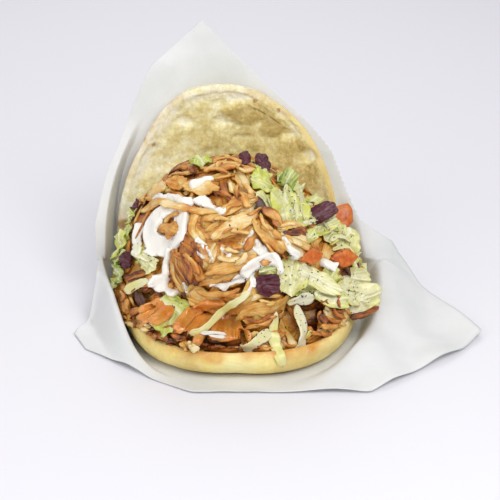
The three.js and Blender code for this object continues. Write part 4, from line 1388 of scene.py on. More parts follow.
MEAT_MOUND = [
    (5, 3, 0.4, 0, 0.0, [(-50.5, 3), (-53.5, -8.5), (-51.5, -18.5), (-46, -28)]),
    (5, 3, 0.62, 10, 0.0, [(-47, 8.5), (-50, -1.5), (-48.5, -12.5), (-41.5, -24.5)]),
    (4.5, 2.6, 0.74, -10, 0.0, [(-43.5, 7), (-46, -3), (-43.5, -12.5), (-37, -23.5)]),
    (4.5, 2.6, 0.66, 10, 0.0, [(-39.5, 5), (-41, -3.5), (-38, -12), (-30.5, -21.5)]),
    (4.5, 2.6, 0.58, -8, 0.0, [(-34.5, 3), (-35.5, -4), (-32, -11), (-23.5, -18)]),
    (2.4, 1.6, 0.5, 0, 0.0, [(-46, 5), (-40.5, -4), (-31, -12.5)]),
    (2.4, 1.6, 0.42, 0, 0.0, [(-48, -3), (-43.5, -12.5), (-36, -19.5)]),
    (5, 3, 0.32, 0, 0.1, [(-23.5, 7), (-27, -0.5), (-29, -9)]),
    (5, 3, 0.22, 10, 0.1, [(-16, 7), (-18.5, 0), (-20, -9)]),
    (5, 3, 0.36, -10, 0.1, [(-9.5, 5.5), (-12.5, -1.5), (-14.5, -9)]),
    (4, 2.5, 0.14, 0, 0.0, [(-4, 9), (-7, 3), (-9, -5)]),
    (5, 3, 0.42, 8, 0.0, [(1.5, 10.5), (3, 3), (-0.5, -5)]),
    (8, 3.5, 0.38, -6, 0.1, [(-37, -21.5), (-25, -18.5), (-12.5, -13), (-0.5, -8.5)]),
    (8, 3.5, 0.44, 8, 0.1, [(-32, -16), (-21, -12.5), (-7.5, -7), (9, -0.5)]),
    (6, 3, 0.3, 0, 0.1, [(-17.5, -9), (-7, -5), (5, 0.5)]),
    (9, 4, 0.36, -8, 0.15, [(-36, 31), (-43, 23.5), (-43, 13), (-35.5, 5)]),
    (5, 3, 0.3, 12, 0.1, [(-32, 27), (-38, 21), (-38, 12.5), (-30.5, 6)]),
    (8, 4, 1.12, 0, 0.0, [(0, 34), (3.5, 30), (5.5, 23)]),
    (5, 3, 0.5, -6, 0.1, [(5, 20), (8.5, 11), (11, 3), (8.5, -5)]),
    (8, 4, 0.44, 10, 0.15, [(5.5, 25.5), (11, 15.5), (16.5, 5.5), (24.5, -6)]),
    (6, 3, 0.38, -12, 0.1, [(8.5, 28.5), (16.5, 21.5), (23.5, 12), (30, 0)]),
    (5, 3, 0.46, 0, 0.1, [(-0.5, 29), (-12.5, 25), (-25, 22), (-35.5, 18.5)]),
    (8, 4, 0.36, 8, 0.15, [(3.5, 35.5), (-7.5, 30.5), (-20, 23.5), (-32.5, 16)]),
    (7, 4, 0.3, -8, 0.1, [(2, 30.5), (-9, 23.5), (-19.5, 17.5), (-29, 12.5)]),
    (9.5, 4.5, 0.2, 6, 0.15, [(3.5, 25.5), (-6, 19.5), (-16, 13), (-26.5, 7.5)]),
    (4.5, 2.6, 0.2, 0, 0.1, [(5, 20), (-0.5, 11), (-5.5, 0.5)]),
    (6, 3, 0.24, 10, 0.1, [(20, 14.5), (28, 16.5), (37, 14.5)]),
    (7, 3, 0.8, -10, 0.1, [(21.5, 11), (29, 9.5), (39, 10.5)]),
    (12, 3, 0.02, 8, 0.15, [(21.5, 6), (30.5, 2), (39.5, -3.5)]),
    (5, 3, 0.12, 0, 0.1, [(23.5, 9.5), (32, 6), (41, 0.5)]),
    (6, 3, 0.75, 0, 0.0, [(-41, -32), (-30.5, -37), (-17.5, -38)]),
    (12, 4.5, 0.27, -8, 0.2, [(-43, -28), (-30.5, -33.5), (-16, -34.5), (-3, -30), (2, -21)]),
]
# Where shreds are packed between the slices of the mound in the middle
MOUND = {"middle": (-19.5, 3), "across": 44 * UNIT_PX, "tall": 48 * UNIT_PX}
# The front slices, down under the mound, have dark tones that are partly browner meat and partly painted
# shade from the mound above them.
MEAT_FRONT = [
    (9, 3, 1.08, 0, 0.0, [(36, -48), (41.5, -46), (48, -47)]),
    (6, 3, 1.12, 0, 0.0, [(-41.5, -55), (-37, -54), (-32, -55.5)]),
    (9, 3, 1.08, 0, 0.0, [(-77.5, -28.5), (-75.5, -34.5), (-72, -41)]),
    (10, 5, 0.45, 0, 0.1, [(-86, -30.5), (-83.5, -34.5), (-80.5, -40.5)]),
    (8, 4, 0.95, 0, 0.1, [(-77.5, -28.5), (-75, -34.5), (-71.5, -41.5)]),
    (6, 3, 0.5, 0, 0.1, [(-74.5, -48), (-70, -50.5), (-66, -53.5)]),
    (8, 3, 0.6, 10, 0.2, [(-66.5, -49.5), (-59.5, -51.5), (-50.5, -53.5)]),
    (9, 3.5, 0.7, -12, 0.2, [(-64.5, -56), (-57.5, -58.5), (-49.5, -59.5)]),
    (8, 4, 0.85, 5, 0.0, [(-50, -55), (-44.5, -58.5), (-39.5, -63)]),
    (7, 3.5, 0.92, -8, 0.1, [(-30.5, -63), (-21, -61), (-7.5, -62)]),
    (5.5, 3, 0.8, 0, 0.0, [(-30, -68.5), (-21, -67.5), (-8.5, -68)]),
    (5, 3, 0.22, 0, 0.1, [(5, -67.5), (10.5, -68.5), (17.5, -67.5)]),
    (6, 3, 0.6, 20, 0.1, [(0, -61), (8.5, -58.5), (17.5, -57.5)]),
    (7, 3, 0.66, 0, 0.1, [(-71.5, -35.5), (-66, -33.5), (-60.5, -32)]),
    (5.5, 3, 0.7, 0, 0.1, [(-85.5, -21.5), (-76.5, -18), (-67.5, -15.5)]),
    (6, 3, 0.58, 0, 0.1, [(37, -66.5), (47, -63), (57.5, -60.5)]),
    (6, 3, 0.55, 10, 0.1, [(39, -62.5), (45, -56), (49.5, -48.5)]),
    (6, 3, 0.45, 0, 0.1, [(47, -48.5), (54, -53.5), (60.5, -57.5)]),
    (5, 3, 0.2, 15, 0.1, [(48, -55), (52, -58.5), (55.5, -62.5)]),
    (7, 3, 0.7, 0, 0.1, [(55.5, -32.5), (64, -34.5), (71, -39)]),
    (13, 3.2, 0.2, 0, 0.2, [(43.5, -38), (53.5, -40.5), (62, -44.5), (68.5, -50)]),
    (9, 3.5, 0.64, 5, 0.0, [(-2, -34.5), (7.5, -32), (21, -30.5)]),
    (9, 3.2, 0.78, 0, 0.25, [(-5, -48.5), (1.5, -51.5), (9, -49.5), (17.5, -43)]),
    (13, 3, 0.24, -6, 0.2, [(-5.5, -41), (3.5, -39), (13, -40.5), (23.5, -35.5)]),
    (2.6, 1.8, 0.8, 0, 0.0, [(-4, -46.5), (4, -50), (12.5, -46.5), (21.5, -41)]),
    (2.6, 1.8, 0.1, 0, 0.0, [(-2, -35.5), (7.5, -32.5), (20, -31)]),
]
MEAT_OVER_RIM = dict(width=6.0, thick=3.0, tone=0.8, path=[(69.5, -47), (80, -44.5), (89.5, -39.5)])
MEAT_OVER_SAUCE = [
    (5.5, 2.6, 0.26, 12, 0.1,
     [(-74.5, 26.5), (-66.5, 30), (-58.5, 32.5), (-48, 30), (-37, 27), (-23.5, 25.5)]),
    (2.6, 1.8, 0.4, 0, 0.0, [(-59, 18), (-55, 23), (-49.5, 25.5)]),
    (8, 3.0, 0.45, 0, 0.0, [(-61, 13), (-57, 14.5), (-52, 12.5)]),
    (4, 2, 0.62, 0, 0.0, [(7, -9), (10.5, -9.5), (14, -9)]),
]

# Salad and sauces: a name says which solid a piece stands for
LETTUCE = {
    "lettuce_07": dict(at=(-81, 22), turn=0, length=11, width=12, green=0.62),
    "lettuce_08": dict(at=(-87.5, 3), turn=90, length=22, width=11.5, green=0.6),
    "lettuce_09": dict(at=(-89, -16.5), turn=0, length=15, width=12, green=0.85),
    "lettuce_10": dict(at=(-68.5, -8.5), turn=-8, length=20, width=12, green=0.16),
    "lettuce_11": dict(at=(-50, -38), turn=-20, length=21, width=15, green=0.62, wave=3.2),
    "lettuce_01": dict(at=(-33.5, 60.5), turn=0, length=14, width=14, green=0.66),
    "lettuce_03": dict(at=(25.5, 47), turn=0, length=22, width=13, green=0.85, lift=2.0, facing=0.8),
    "lettuce_02": dict(at=(9, 44.5), turn=-30, length=17, width=19, green=0.56, stand=3.0),
    "lettuce_04": dict(at=(29, 31), turn=80, length=33, width=28, green=0.4, wave=3.4, ribs=9, facing=0.3),
    "lettuce_05": dict(at=(48, 16.5), turn=-6, length=29, width=13, green=0.4, facing=0.4),
    "lettuce_06": dict(at=(64, 6), turn=30, length=24, width=19, green=0.25, wave=3.2, over_rim=True,
                       facing=0.5),
    "lettuce_12": dict(at=(28.5, -17.5), turn=75, length=26, width=21, green=0.22, facing=0.2),
    "lettuce_13": dict(at=(46, -20), turn=-42, length=30, width=12, green=0.12, wave=1.6, thick=1.4,
                       facing=0.3),
    "lettuce_14": dict(at=(69.5, -20), turn=-25, length=27, width=16, green=0.1, wave=3.2, over_rim=True,
                       facing=0.6),
    "lettuce_15": dict(at=(75, -35.5), turn=4, length=34, width=19, green=0.06, wave=4.0, ribs=7,
                       over_rim=True, facing=0.75),
}
# The leaves that lie below the others
LETTUCE_LAID_FIRST = ("lettuce_05", "lettuce_06", "lettuce_12", "lettuce_13", "lettuce_14", "lettuce_15")
# Ribbons of shredded lettuce: width, how green, and the path
LETTUCE_RIBBONS = [
    (4.0, 0.5, [(20, 41.5), (18.5, 32.5), (16.5, 24.5)]),
    (4.5, 0.15, [(24.5, 43.5), (23.5, 33.5), (22, 21.5)]),
    (3.6, 0.6, [(28, 43.5), (28, 32), (27, 19.5)]),
    (4.5, 0.35, [(32, 43), (32.5, 32), (32, 20)]),
    (3.6, 0.1, [(35.5, 41.5), (37, 31), (36, 21)]),
    (4.0, 0.45, [(38, 37.5), (41.5, 30), (43, 23)]),
    (3.4, 0.3, [(12.5, 37.5), (14.5, 30.5), (18.5, 25)]),
    (3.4, 0.35, [(52.5, 14.5), (61, 16.5), (71, 13)]),
    (3.4, 0.1, [(54, 7), (63, 9.5), (72, 5)]),
    (3.6, 0.25, [(55.5, 0.5), (64.5, 2), (73, -1.5)]),
    (3.2, 0.05, [(37, 18), (47, 20), (57.5, 16)]),
    (3.2, 0.5, [(47, -27), (53.5, -23), (57.5, -15.5)]),
    (3.2, 0.45, [(66.5, -29), (68.5, -34.5), (74.5, -41)]),
]
# Leaves below those ones: place, turn, length, width and how green
LETTUCE_BELOW = [
    ((8.5, 51.5), 0, 15, 11, 0.6),
    ((21.5, 48), -20, 16, 10, 0.75),
    ((34, 42.5), -40, 15, 12, 0.5),
    ((43, 34), -30, 14, 11, 0.4),
    ((53.5, 26.5), -30, 14, 12, 0.4),
    ((11, 32), -40, 17, 13, 0.35),
    ((23.5, 23.5), 20, 18, 13, 0.45),
    ((34.5, 36), 70, 20, 14, 0.6),
    ((42.5, 24.5), -20, 18, 12, 0.4),
    ((55, 12), 15, 20, 14, 0.35),
    ((64, 14), -50, 18, 14, 0.4),
    ((39.5, 8.5), 10, 16, 9, 0.5),
    ((54, -17.5), 60, 18, 14, 0.3),
    ((64.5, -28), -30, 20, 16, 0.2),
    ((79, -23), 40, 15, 14, 0.25),
    ((71, -3.5), 60, 18, 14, 0.35),
    ((76.5, -9.5), 80, 18, 14, 0.2),
    ((80.5, -16.5), 70, 16, 12, 0.15),
    ((36, -24.5), 0, 18, 14, 0.35),
    ((48.5, -30), -20, 20, 11, 0.3),
    ((-84.5, 11), 60, 15, 11, 0.6),
    ((-89.5, -5.5), 80, 15, 9, 0.7),
    ((-91.5, -23), 30, 12, 9, 0.6),
    ((-75, -3.5), 10, 15, 12, 0.5),
    ((12.5, -14), 5, 15, 9, 0.6),
]
RED_CABBAGE = {
    "red_cabbage_1": dict(at=(-4, 61), turn=20, length=9, width=8, lift=1.5, facing=0.8),
    "red_cabbage_2": dict(at=(8.5, 58.5), turn=30, length=14, width=10, lift=1.5, facing=0.8),
    "red_cabbage_3": dict(at=(48, 25), turn=-6, length=24, width=12, over_rim=True, lift=3.0, facing=0.9),
    "red_cabbage_4": dict(at=(-77, 30), turn=30, length=9, width=7),
    "red_cabbage_5": dict(at=(-84, -7), turn=0, length=9, width=12),
    "red_cabbage_6": dict(at=(-92.5, -37.5), turn=10, length=12, width=11, over_rim=True, lift=2.0),
    "red_cabbage_7": dict(at=(10.5, -23), turn=0, length=15, width=13),
}
TOMATO = {
    "tomato_1": dict(at=(68, 24.5), turn=10, length=26, width=21, thick=6, corners=5, over_rim=True,
                     lift=2.5, facing=0.9),
    "tomato_2": dict(at=(41, -5), turn=-8, length=19, width=11, thick=5, corners=4, facing=0.4),
    "tomato_3": dict(at=(61, -6), turn=-24, length=23, width=14, thick=5.5, corners=4, facing=0.4,
                     over_rim=True),
}
SHREDS = {
    "onion_strip": dict(width=8.5, roll=42, thick=1.5, tone=0.02,
                        path=[(-75, 18.5), (-78.5, 7.5), (-78.5, -4)]),
    "cabbage_strip_1": dict(width=5.5, thick=1.3, tone=0.36, path=[(-88, -29), (-79, -24.5), (-69.5, -21)]),
    "cabbage_strip_2": dict(width=6.5, thick=1.4, tone=0.38,
                            path=[(-38, -51.5), (-25.5, -44.5), (-12, -37.5), (-0.5, -28.5)]),
    "cabbage_strip_3": dict(width=9, thick=1.3, tone=0.42, path=[(14, -55.5), (4, -60.5), (-5, -68)]),
    "cabbage_strip_5": dict(width=8.5, thick=1.4, tone=0.3,
                            path=[(24.5, -36), (35.5, -32.5), (46.5, -33.5)]),
    "cabbage_strip_4": dict(width=8, thick=1.5, tone=0.14, path=[(32, -37.5), (32.5, -54), (33.5, -70)]),
}
ONION_SLIVERS = [
    dict(width=2.8, thick=1.0, tone=0.02, path=[(-33.5, -55.5), (-25.5, -55.5), (-16, -58.5)]),
    dict(width=2.0, thick=1.0, tone=0.1, path=[(-29, -59), (-23, -59), (-16.5, -60.5)]),
    dict(width=3.6, thick=1.1, tone=0.6, path=[(37, -52), (37.5, -56), (39, -61)]),
]
OVER_LIP = dict(
    width=7.0, thick=1.5, tone=0.42,
    path=[(18.5, -43), (16.5, -51.5), (16.5, -59.5), (18, -67.5), (21, -74.5), (23, -81)],
)
# Sauces: the runs of each solid, as radius and places, and the holes that stay open in it
WHITE_SAUCE = {
    "white_sauce_streak_1": dict(thick=1.5, runs=[(3.4, [(-64, 31), (-55.5, 34.5), (-43, 34)])]),
    "white_sauce_streak_2": dict(thick=1.4, runs=[(3.6, [(-36, 34.5), (-30.5, 32.5)]),
                                                  (2.2, [(-30.5, 32.5), (-19.5, 26.5)])]),
    "white_sauce_top": dict(thick=1.8, runs=[(3.0, [(-39.5, 46), (-34, 48), (-28.5, 50)])]),
    "white_sauce_pool": dict(
        thick=2.8,
        runs=[
            (5.0, [(-55, 27), (-62.5, 25.5), (-68, 21)]),
            (8.2, [(-66.5, 20), (-67.5, 12), (-64, 4)]),
            (7.4, [(-64, 3), (-56, 2)]),
            (6.0, [(-55, 3), (-50, 8.5), (-48, 15.5), (-48, 23)]),
            (4.0, [(-58.5, 29), (-51.5, 26.5), (-46, 25.5)]),
        ],
        holes=[(3.6, [(-57.5, 14.5), (-55, 14)]), (0.8, [(-57, 18.5), (-50, 25.5)])],
    ),
    "white_sauce_drip": dict(
        thick=2.4,
        runs=[(2.6, [(-57, 0), (-57, -8.5), (-58.5, -15.5)]), (5.2, [(-60.5, -21), (-59, -23.5)]),
              (2.0, [(-57, -27), (-52, -30)])],
    ),
    "white_sauce_cup": dict(
        thick=1.6,
        runs=[(3.6, [(-3.5, -16), (2, -11), (9.5, -7.5), (16, -6)]),
              (2.8, [(16, -6), (21, -9), (22, -14)])],
    ),
    "white_sauce_right": dict(thick=2.0, runs=[(3.0, [(52.5, -9.5), (57.5, -12)])]),
}
WHITE_SMEARS = [
    dict(thick=0.35, runs=[(2.0, [(-36, 7), (-31, 3)]), (0.9, [(-28.5, -0.5), (-25.5, -8.5)])]),
    dict(thick=0.3, runs=[(1.2, [(-19.5, 1.5), (-14.5, -2), (-16, -6)])]),
    dict(thick=0.35, runs=[(1.5, [(1.5, 12.5), (-2, 6), (-5, 1.5)]), (0.8, [(-3, 7), (-8.5, -1.5)])]),
    dict(thick=0.45, runs=[(1.5, [(5, 6), (9, 0.5), (14, -3.5)]), (0.9, [(1.5, 2), (8.5, -4)])]),
    dict(thick=0.5, runs=[(1.6, [(-26.5, -25), (-16.5, -24.5), (-7, -20)]),
                          (2.4, [(-7, -20), (1.5, -16.5)])]),
    dict(thick=0.6, runs=[(1.8, [(1.5, -18), (2, -23.5), (-0.5, -28.5)])]),
    dict(thick=0.5, runs=[(1.4, [(-46, -23.5), (-43.5, -28)])]),
    dict(thick=0.6, runs=[(2.4, [(23, 6), (28, 2), (32.5, -3)])]),
    dict(thick=0.3, runs=[(0.9, [(-30.5, 22), (-25, 20)]), (0.8, [(-37.5, -1.5), (-32.5, -5.5)])]),
]
ORANGE_SAUCE = {
    "orange_sauce_left": dict(thick=1.5, runs=[(5.0, [(-69.5, -41), (-64.5, -39)]),
                                               (3.6, [(-64.5, -40.5), (-60.5, -46)])]),
    "orange_sauce_middle": dict(thick=1.3, runs=[(4.0, [(-43.5, -46), (-37.5, -42.5), (-30, -39)]),
                                                 (3.0, [(-30, -39), (-20, -38)])]),
    "orange_sauce_front": dict(
        thick=1.5,
        runs=[(2.4, [(-36, -48.5), (-26.5, -47)]), (3.6, [(-25, -48), (-14.5, -48.5)]),
              (2.4, [(-13, -50.5), (-2, -58.5)])],
    ),
}


def scattered(heap, out, seed, count, rises, bearings, length, width, tone, sides=12, step=2.2, sink=0.42,
              leafy=False):
    """Slices of meat or leaf scattered at random over part of the heap."""
    random = np.random.default_rng(seed)
    for k in range(count):
        bearing = random.uniform(*bearings)
        rise = random.uniform(*rises)
        turn = random.uniform(0, 180)
        long = random.uniform(*length)
        bend = random.uniform(-0.25, 0.25) * long
        place = local_place(heading(bearing, rise), turn)
        ways = [place(s * long, bend * (1 - 4 * s * s)) for s in (-0.5, -0.15, 0.2, 0.5)]
        path = [HEAP_CENTRE + way * heap_radius(way) for way in ways]
        wide = random.uniform(*width)
        ways = np.array(ways)
        if np.mean(heap.map.read(ways) - top_radius(ways)) > -2.4:
            continue
        heap.strip(
            out, path, wide, random.uniform(1.4, 2.4), seed * 100 + k, tone=random.uniform(*tone),
            roll=random.uniform(-28, 28), cup=random.uniform(-0.05, 0.3), sides=sides, step=step,
            blunt=random.uniform(3.5, 9.0), ridges=0.25, ceiling=0.9, fringe=0.9, sink=sink, leafy=leafy,
        )


# Where dried herbs lie: place, how far round it, and how many flakes
HERBS = [
    ((29, 34.5), 14, 16),
    ((50, 15.5), 16, 18),
    ((64.5, 7), 12, 16),
    ((28, -17.5), 12, 14),
    ((43, -22), 12, 14),
    ((69.5, -22), 14, 18),
    ((73.5, -36), 14, 14),
    ((32.5, -52), 14, 18),
    ((36, -33.5), 12, 14),
    ((4, -61), 12, 12),
    ((-50, -39.5), 10, 7),
    ((-86, 0), 14, 12),
    ((-69.5, -8.5), 10, 8),
    ((-14, 0), 40, 14),
    ((0, 45), 30, 12),
]


def make_herbs(heap, out):
    """Flakes of dried herb on the salad, most of them on its right."""
    random = np.random.default_rng(77)
    for at, spread, count in HERBS:
        for _ in range(count):
            turn = random.uniform(0, 2 * math.pi)
            far = spread * UNIT_PX * math.sqrt(random.uniform(0, 1))
            direction = heap.shown((at[0] + far * math.cos(turn), at[1] + far * math.sin(turn)))
            middle = HEAP_CENTRE + direction * (heap.map.read(direction[None])[0] + 0.25)
            size = random.uniform(0.35, 0.8)
            corners = unit(random.normal(size=(6, 3)))
            add_flake(out, middle, direction, size, corners, random.uniform(0, math.pi))


def add_flake(out, middle, outwards, size, corners, turn):
    """A small flat flake with six corners."""
    level = unit(np.cross(outwards, np.array([0.3, 0.2, 1.0])))
    other = np.cross(outwards, level)
    along = level * math.cos(turn) + other * math.sin(turn)
    over = np.cross(outwards, along)
    top = middle + outwards * 0.25 * size
    under = middle - outwards * 0.25 * size
    steps = np.arange(6) / 6 * 2 * math.pi
    reach = size * (0.8 + 0.25 * corners[:, :1])
    rim = middle + reach * (np.cos(steps)[:, None] * along * 1.5 + np.sin(steps)[:, None] * over * 0.7)
    out.add(np.vstack([under[None], rim, top[None]]), ring_faces(1, 6))


# Broad smooth slices of meat: place, turn, length, width and tone
MEAT_SLABS = [
    ((-65, 40.5), 42, 25, 12, 0.26),
    ((-50, 46), 30, 15, 10, 0.34),
    ((-34, 43), 8, 26, 10, 0.25),
]
MOUND_SLABS = [
    ((-41.5, -8.5), -72, 32, 17, 0.7),
    ((-16.5, 26.5), 25, 30, 8, 0.34),
    ((-11, 16.5), 27, 32, 9, 0.14),
    ((12.5, 9.5), -55, 28, 8, 0.38),
    ((-12.5, -10.5), 18, 34, 9, 0.36),
]


def lay_slabs(heap, out, slabs, seed):
    """Broad smooth slices of meat."""
    for k, (at, turn, length, width, tone) in enumerate(slabs):
        heap.leaf(
            out, at, turn, length, width, seed + 9 * k, wave=0.9, thick=1.5, lift=0.3, torn=0.2, tone=tone,
            spokes_round=60, rows=11, stiff=2.5,
        )


# Where small shreds of meat lie loose: place, spread right and up, their way, how many, tone, half length
LOOSE_ON_MOUND = [
    ((-12.5, 19.5), 24, 12, 25, 5, 0.34, 6),
    ((-40.5, -8.5), 8, 16, -72, 9, 0.62, 8),
    ((-12.5, -3.5), 24, 12, 25, 5, 0.3, 6),
    ((15.5, 10.5), 12, 18, -60, 4, 0.42, 6),
    ((-3.5, 34.5), 14, 10, -60, 3, 0.5, 5),
]
# The shreds low at the front have dark tones that are partly browner meat and partly painted shade under the
# mound.
LOOSE = [
    ((-55.5, 41.5), 22, 10, 30, 6, 0.5, 6),
    ((-15.5, 50), 22, 14, 10, 8, 0.42, 6),
    ((-3.5, 38), 14, 12, -60, 5, 0.5, 6),
    ((-34.5, -64.5), 36, 6, -8, 12, 0.85, 4),
    ((-41.5, -66.5), 8, 4, 20, 16, 0.12, 1.6),
    ((10.5, -62.5), 30, 10, 15, 8, 0.55, 4),
    ((50, -52.5), 20, 14, -25, 9, 0.6, 6),
    ((-59, -55.5), 16, 8, -30, 10, 0.85, 4),
    ((-80, -33.5), 14, 14, 40, 6, 0.8, 5),
    ((-69.5, -50), 8, 6, -30, 8, 0.2, 2),
    ((-76.5, -14), 16, 16, 30, 5, 0.6, 5),
    ((34.5, 8.5), 14, 8, 0, 5, 0.5, 5),
    ((59, -38), 24, 10, -20, 5, 0.5, 5),
]


def loose_shreds(heap, out, places, seed):
    """Small torn shreds of meat on top of the slices."""
    random = np.random.default_rng(seed)
    for k, (at, across, up, way, count, tone, size) in enumerate(places):
        for i in range(count):
            middle = np.array(at) + np.array([across, up]) * UNIT_PX * random.uniform(-1, 1, 2)
            turn = math.radians(way + random.uniform(-32, 32))
            half = np.array([math.cos(turn), math.sin(turn)]) * size * random.uniform(0.7, 1.3)
            bend = np.array([-half[1], half[0]]) * random.uniform(-0.3, 0.3)
            heap.strip(
                out, [middle - half, middle + bend, middle + half], random.uniform(2.4, 5.6),
                random.uniform(1.2, 2.2), seed * 50 + 40 * k + i, tone=tone + random.uniform(-0.25, 0.22),
                roll=random.uniform(-35, 35), sides=10, lobes=1.3, ridges=0.3,
                blunt=random.uniform(3, 8), fringe=1.2, sink=0.2,
            )


# What is scattered by chance: how many, between which rises, bearings, lengths, widths and tones
SCATTERED_MEAT = [
    dict(seed=1, count=210, rises=(-25, 84), bearings=(70, 290), length=(12, 42), width=(4, 12),
         tone=(0.05, 1.0), sides=10, step=2.6, sink=0.2),
    dict(seed=2, count=330, rises=(-34, 84), bearings=(-100, 100), length=(14, 30), width=(5, 10),
         tone=(0.3, 0.8)),
    dict(seed=4, count=120, rises=(-34, 4), bearings=(-62, 62), length=(14, 30), width=(5, 10),
         tone=(0.3, 0.85)),
    dict(seed=3, count=70, rises=(-5, 75), bearings=(-45, 40), length=(14, 26), width=(5, 9),
         tone=(0.25, 0.55)),
]
SCATTERED_LETTUCE = dict(seed=5, count=90, rises=(-20, 64), bearings=(78, 282), length=(10, 24),
                         width=(5, 10), tone=(0.3, 0.95), sink=0.1, leafy=True)
SCATTERED_RED_CABBAGE = dict(seed=6, count=26, rises=(-20, 60), bearings=(78, 282), length=(8, 15),
                             width=(4, 8), tone=(0.5, 0.5), sink=0.1, leafy=True)


def lay_slices(heap, out, slices, seed, fibres=1.0):
    """Long slices of meat, each with its loose fibres."""
    for k, (width, thick, tone, roll, cup, path) in enumerate(slices):
        heap.slice_of_meat(out, path, width, thick, seed + k, tone, roll, cup, fibres)


def lay_meat(heap, core, lower, upper):
    """The heap of meat: its core, slices all round and the larger slices at its back and front."""
    heap.add_core(core)
    for sizes in SCATTERED_MEAT:
        scattered(heap, lower, **sizes)
    heap.pack(core, 0.8, 2.6)
    lay_slices(heap, upper, MEAT_BACK, 500)
    lay_slices(heap, upper, MEAT_FRONT, 600)
    loose_shreds(heap, upper, LOOSE, 41)
    lay_slabs(heap, upper, MEAT_SLABS, 3000)


def lay_lettuce(heap, lettuce, red):
    """Leaves and ribbons of lettuce, and salad scattered over the sides and the back."""
    for k, (at, turn, length, width, green) in enumerate(LETTUCE_BELOW):
        heap.leaf(lettuce, at, turn, length, width, 1300 + 7 * k, green=green, spokes_round=44, rows=9)
    scattered(heap, lettuce, **SCATTERED_LETTUCE)
    scattered(heap, red, **SCATTERED_RED_CABBAGE)
    for first in (True, False):
        for k, (name, sizes) in enumerate(LETTUCE.items()):
            if (name in LETTUCE_LAID_FIRST) == first:
                heap.leaf(lettuce, seed=700 + 11 * k, **sizes)
    for k, (width, green, path) in enumerate(LETTUCE_RIBBONS):
        heap.strip(lettuce, path, width, 1.1, 760 + k, leafy=True, tone=green, ridges=0.3, blunt=6.0,
                   fringe=0.6, cup=0.2, ceiling=4.0)


def lay_mound(heap, core, upper):
    """The mound of long slices in the middle."""
    lay_slices(heap, upper, MEAT_MOUND, 900)
    lay_slabs(heap, upper, MOUND_SLABS[:1], 3100)
    heap.pack(core, 0.9, 2.2, MOUND["middle"], MOUND["across"], MOUND["tall"])


def lay_sauces(heap, upper, white, orange):
    """White smears with meat over them, then the thick runs of sauce and the slices that lie across those."""
    for k, sizes in enumerate(WHITE_SMEARS):
        heap.sauce(white, seed=1020 + k, fill=0.15, shoulder=1.0, cell=0.45, **sizes)
    lay_slabs(heap, upper, MOUND_SLABS[1:], 3200)
    loose_shreds(heap, upper, LOOSE_ON_MOUND, 43)
    for k, sizes in enumerate(ORANGE_SAUCE.values()):
        heap.sauce(orange, seed=1000 + k, fill=0.3, shoulder=1.6, **sizes)
    for k, sizes in enumerate(WHITE_SAUCE.values()):
        heap.sauce(white, seed=1040 + k, **sizes)
    lay_slices(heap, upper, MEAT_OVER_SAUCE, 1100, 0.5)


def lay_shreds(heap, upper, shreds):
    """Strips of onion and white cabbage, and what hangs over the bread's rim."""
    for k, sizes in enumerate([*ONION_SLIVERS, *SHREDS.values()]):
        heap.strip(shreds, seed=1200 + k, ridges=0.3, lobes=3.4, blunt=7.0, cup=0.15, wander=0.3,
                   fringe=0.2, **sizes)
    heap.hanging_strip(shreds, lift=1.4, seed=1250, **OVER_LIP)
    heap.hanging_strip(upper, lift=2.0, seed=1260, **MEAT_OVER_RIM)


def make_heap(bread):
    """The filling, laid in the order in which its pieces cover one another."""
    heap = Heap(bread)
    core, lower, upper, lettuce, red, tomato, shreds, white, orange, herbs = (Joined() for _ in range(10))
    lay_meat(heap, core, lower, upper)
    lay_lettuce(heap, lettuce, red)
    lay_mound(heap, core, upper)
    for k, sizes in enumerate(RED_CABBAGE.values()):
        heap.leaf(red, seed=800 + 7 * k, wave=1.3, torn=0.16, thick=1.3, spokes_round=48, rows=9, stiff=3.0,
                  **sizes)
    for k, sizes in enumerate(TOMATO.values()):
        heap.chunk(tomato, seed=820 + k, **sizes)
    lay_sauces(heap, upper, white, orange)
    lay_shreds(heap, upper, shreds)
    make_herbs(heap, herbs)
    chicken = chicken_material()
    white_look = sauce_material("white_sauce", (238, 233, 220), (249, 245, 236), (236, 200, 150), 0.0)
    orange_look = sauce_material("orange_sauce", (206, 120, 38), (230, 162, 78), (120, 56, 22), 0.6)
    herbs.finish("dried_herbs", herb_material(), "lettuce")
    core.finish("chicken_core", chicken, "chicken")
    lower.finish("chicken_slices_below", chicken, "chicken")
    upper.finish("chicken_slices_above", chicken, "chicken", "chicken_heap")
    lettuce.finish("lettuce_leaves", lettuce_material(), "lettuce", *LETTUCE)
    red.finish("red_cabbage_pieces", red_cabbage_material(), "red_cabbage", *RED_CABBAGE)
    tomato.finish("tomato_pieces", tomato_material(), "tomato", *TOMATO)
    shreds.finish("cabbage_shreds", shred_material(), "white_cabbage", *SHREDS, "cabbage_strip_over_lip")
    white.finish("white_sauce_runs", white_look, "white_sauce", *WHITE_SAUCE)
    orange.finish("orange_sauce_runs", orange_look, "orange_sauce", *ORANGE_SAUCE)


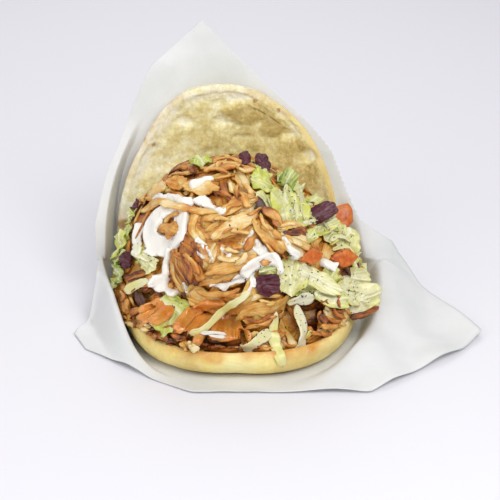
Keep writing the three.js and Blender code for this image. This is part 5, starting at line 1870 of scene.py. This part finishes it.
def make_stage():
    """A pale floor in a pale room, with soft lights."""
    mesh = bpy.data.meshes.new("floor")
    size = 6.0
    mesh.from_pydata([(-size, -size, 0), (size, -size, 0), (size, size, 0), (-size, size, 0)], [],
                     [(0, 1, 2, 3)])
    floor = bpy.data.objects.new("floor", mesh)
    floor.location.z = -0.0003
    bpy.context.scene.collection.objects.link(floor)
    m = Nodes("pale_floor")
    floor.data.materials.append(m.finish(srgb(229, 228, 232), 0.6, Specular_IOR_Level=0.2))
    world = bpy.data.worlds.new("pale_room")
    world.use_nodes = True
    world.node_tree.nodes["Background"].inputs[0].default_value = srgb(240, 240, 244)
    world.node_tree.nodes["Background"].inputs[1].default_value = 0.66
    bpy.context.scene.world = world
    bpy.context.scene.view_settings.view_transform = "Standard"
    add_light("key_softbox", (0.4, -0.7, 1.0), 0.8, 8.6)
    add_light("left_fill", (-0.9, -0.7, 0.7), 0.9, 3.6)
    add_light("back_light", (-0.1, 0.9, 0.9), 0.8, 3.0)


def add_light(name, place, size, power):
    """A soft round light that shines on the food."""
    lamp = bpy.data.lights.new(name, "AREA")
    lamp.shape = "DISK"
    lamp.size = size
    lamp.energy = power
    holder = bpy.data.objects.new(name, lamp)
    holder.location = place
    aim = Vector((0, 0, 0.06)) - Vector(place)
    holder.rotation_mode = "QUATERNION"
    holder.rotation_quaternion = aim.to_track_quat("-Z", "Y")
    bpy.context.scene.collection.objects.link(holder)


def make_camera():
    """The camera in the place from which the photo was taken."""
    lens = bpy.data.cameras.new("front_view")
    lens.lens = VIEW["lens"]
    lens.sensor_width = 36.0
    camera = bpy.data.objects.new("front_view", lens)
    camera.location = EYE * UNIT
    camera.rotation_mode = "QUATERNION"
    camera.rotation_quaternion = Vector(-BACK).to_track_quat("-Z", "Y")
    bpy.context.scene.collection.objects.link(camera)
    bpy.context.scene.camera = camera


make_camera()
make_stage()
bread_shape = make_bread()
bread_shape.finish("flatbread", bread_material(), "bread", "bread")
make_paper().finish("serving_paper", paper_material(), "paper", "paper")
make_heap(bread_shape)
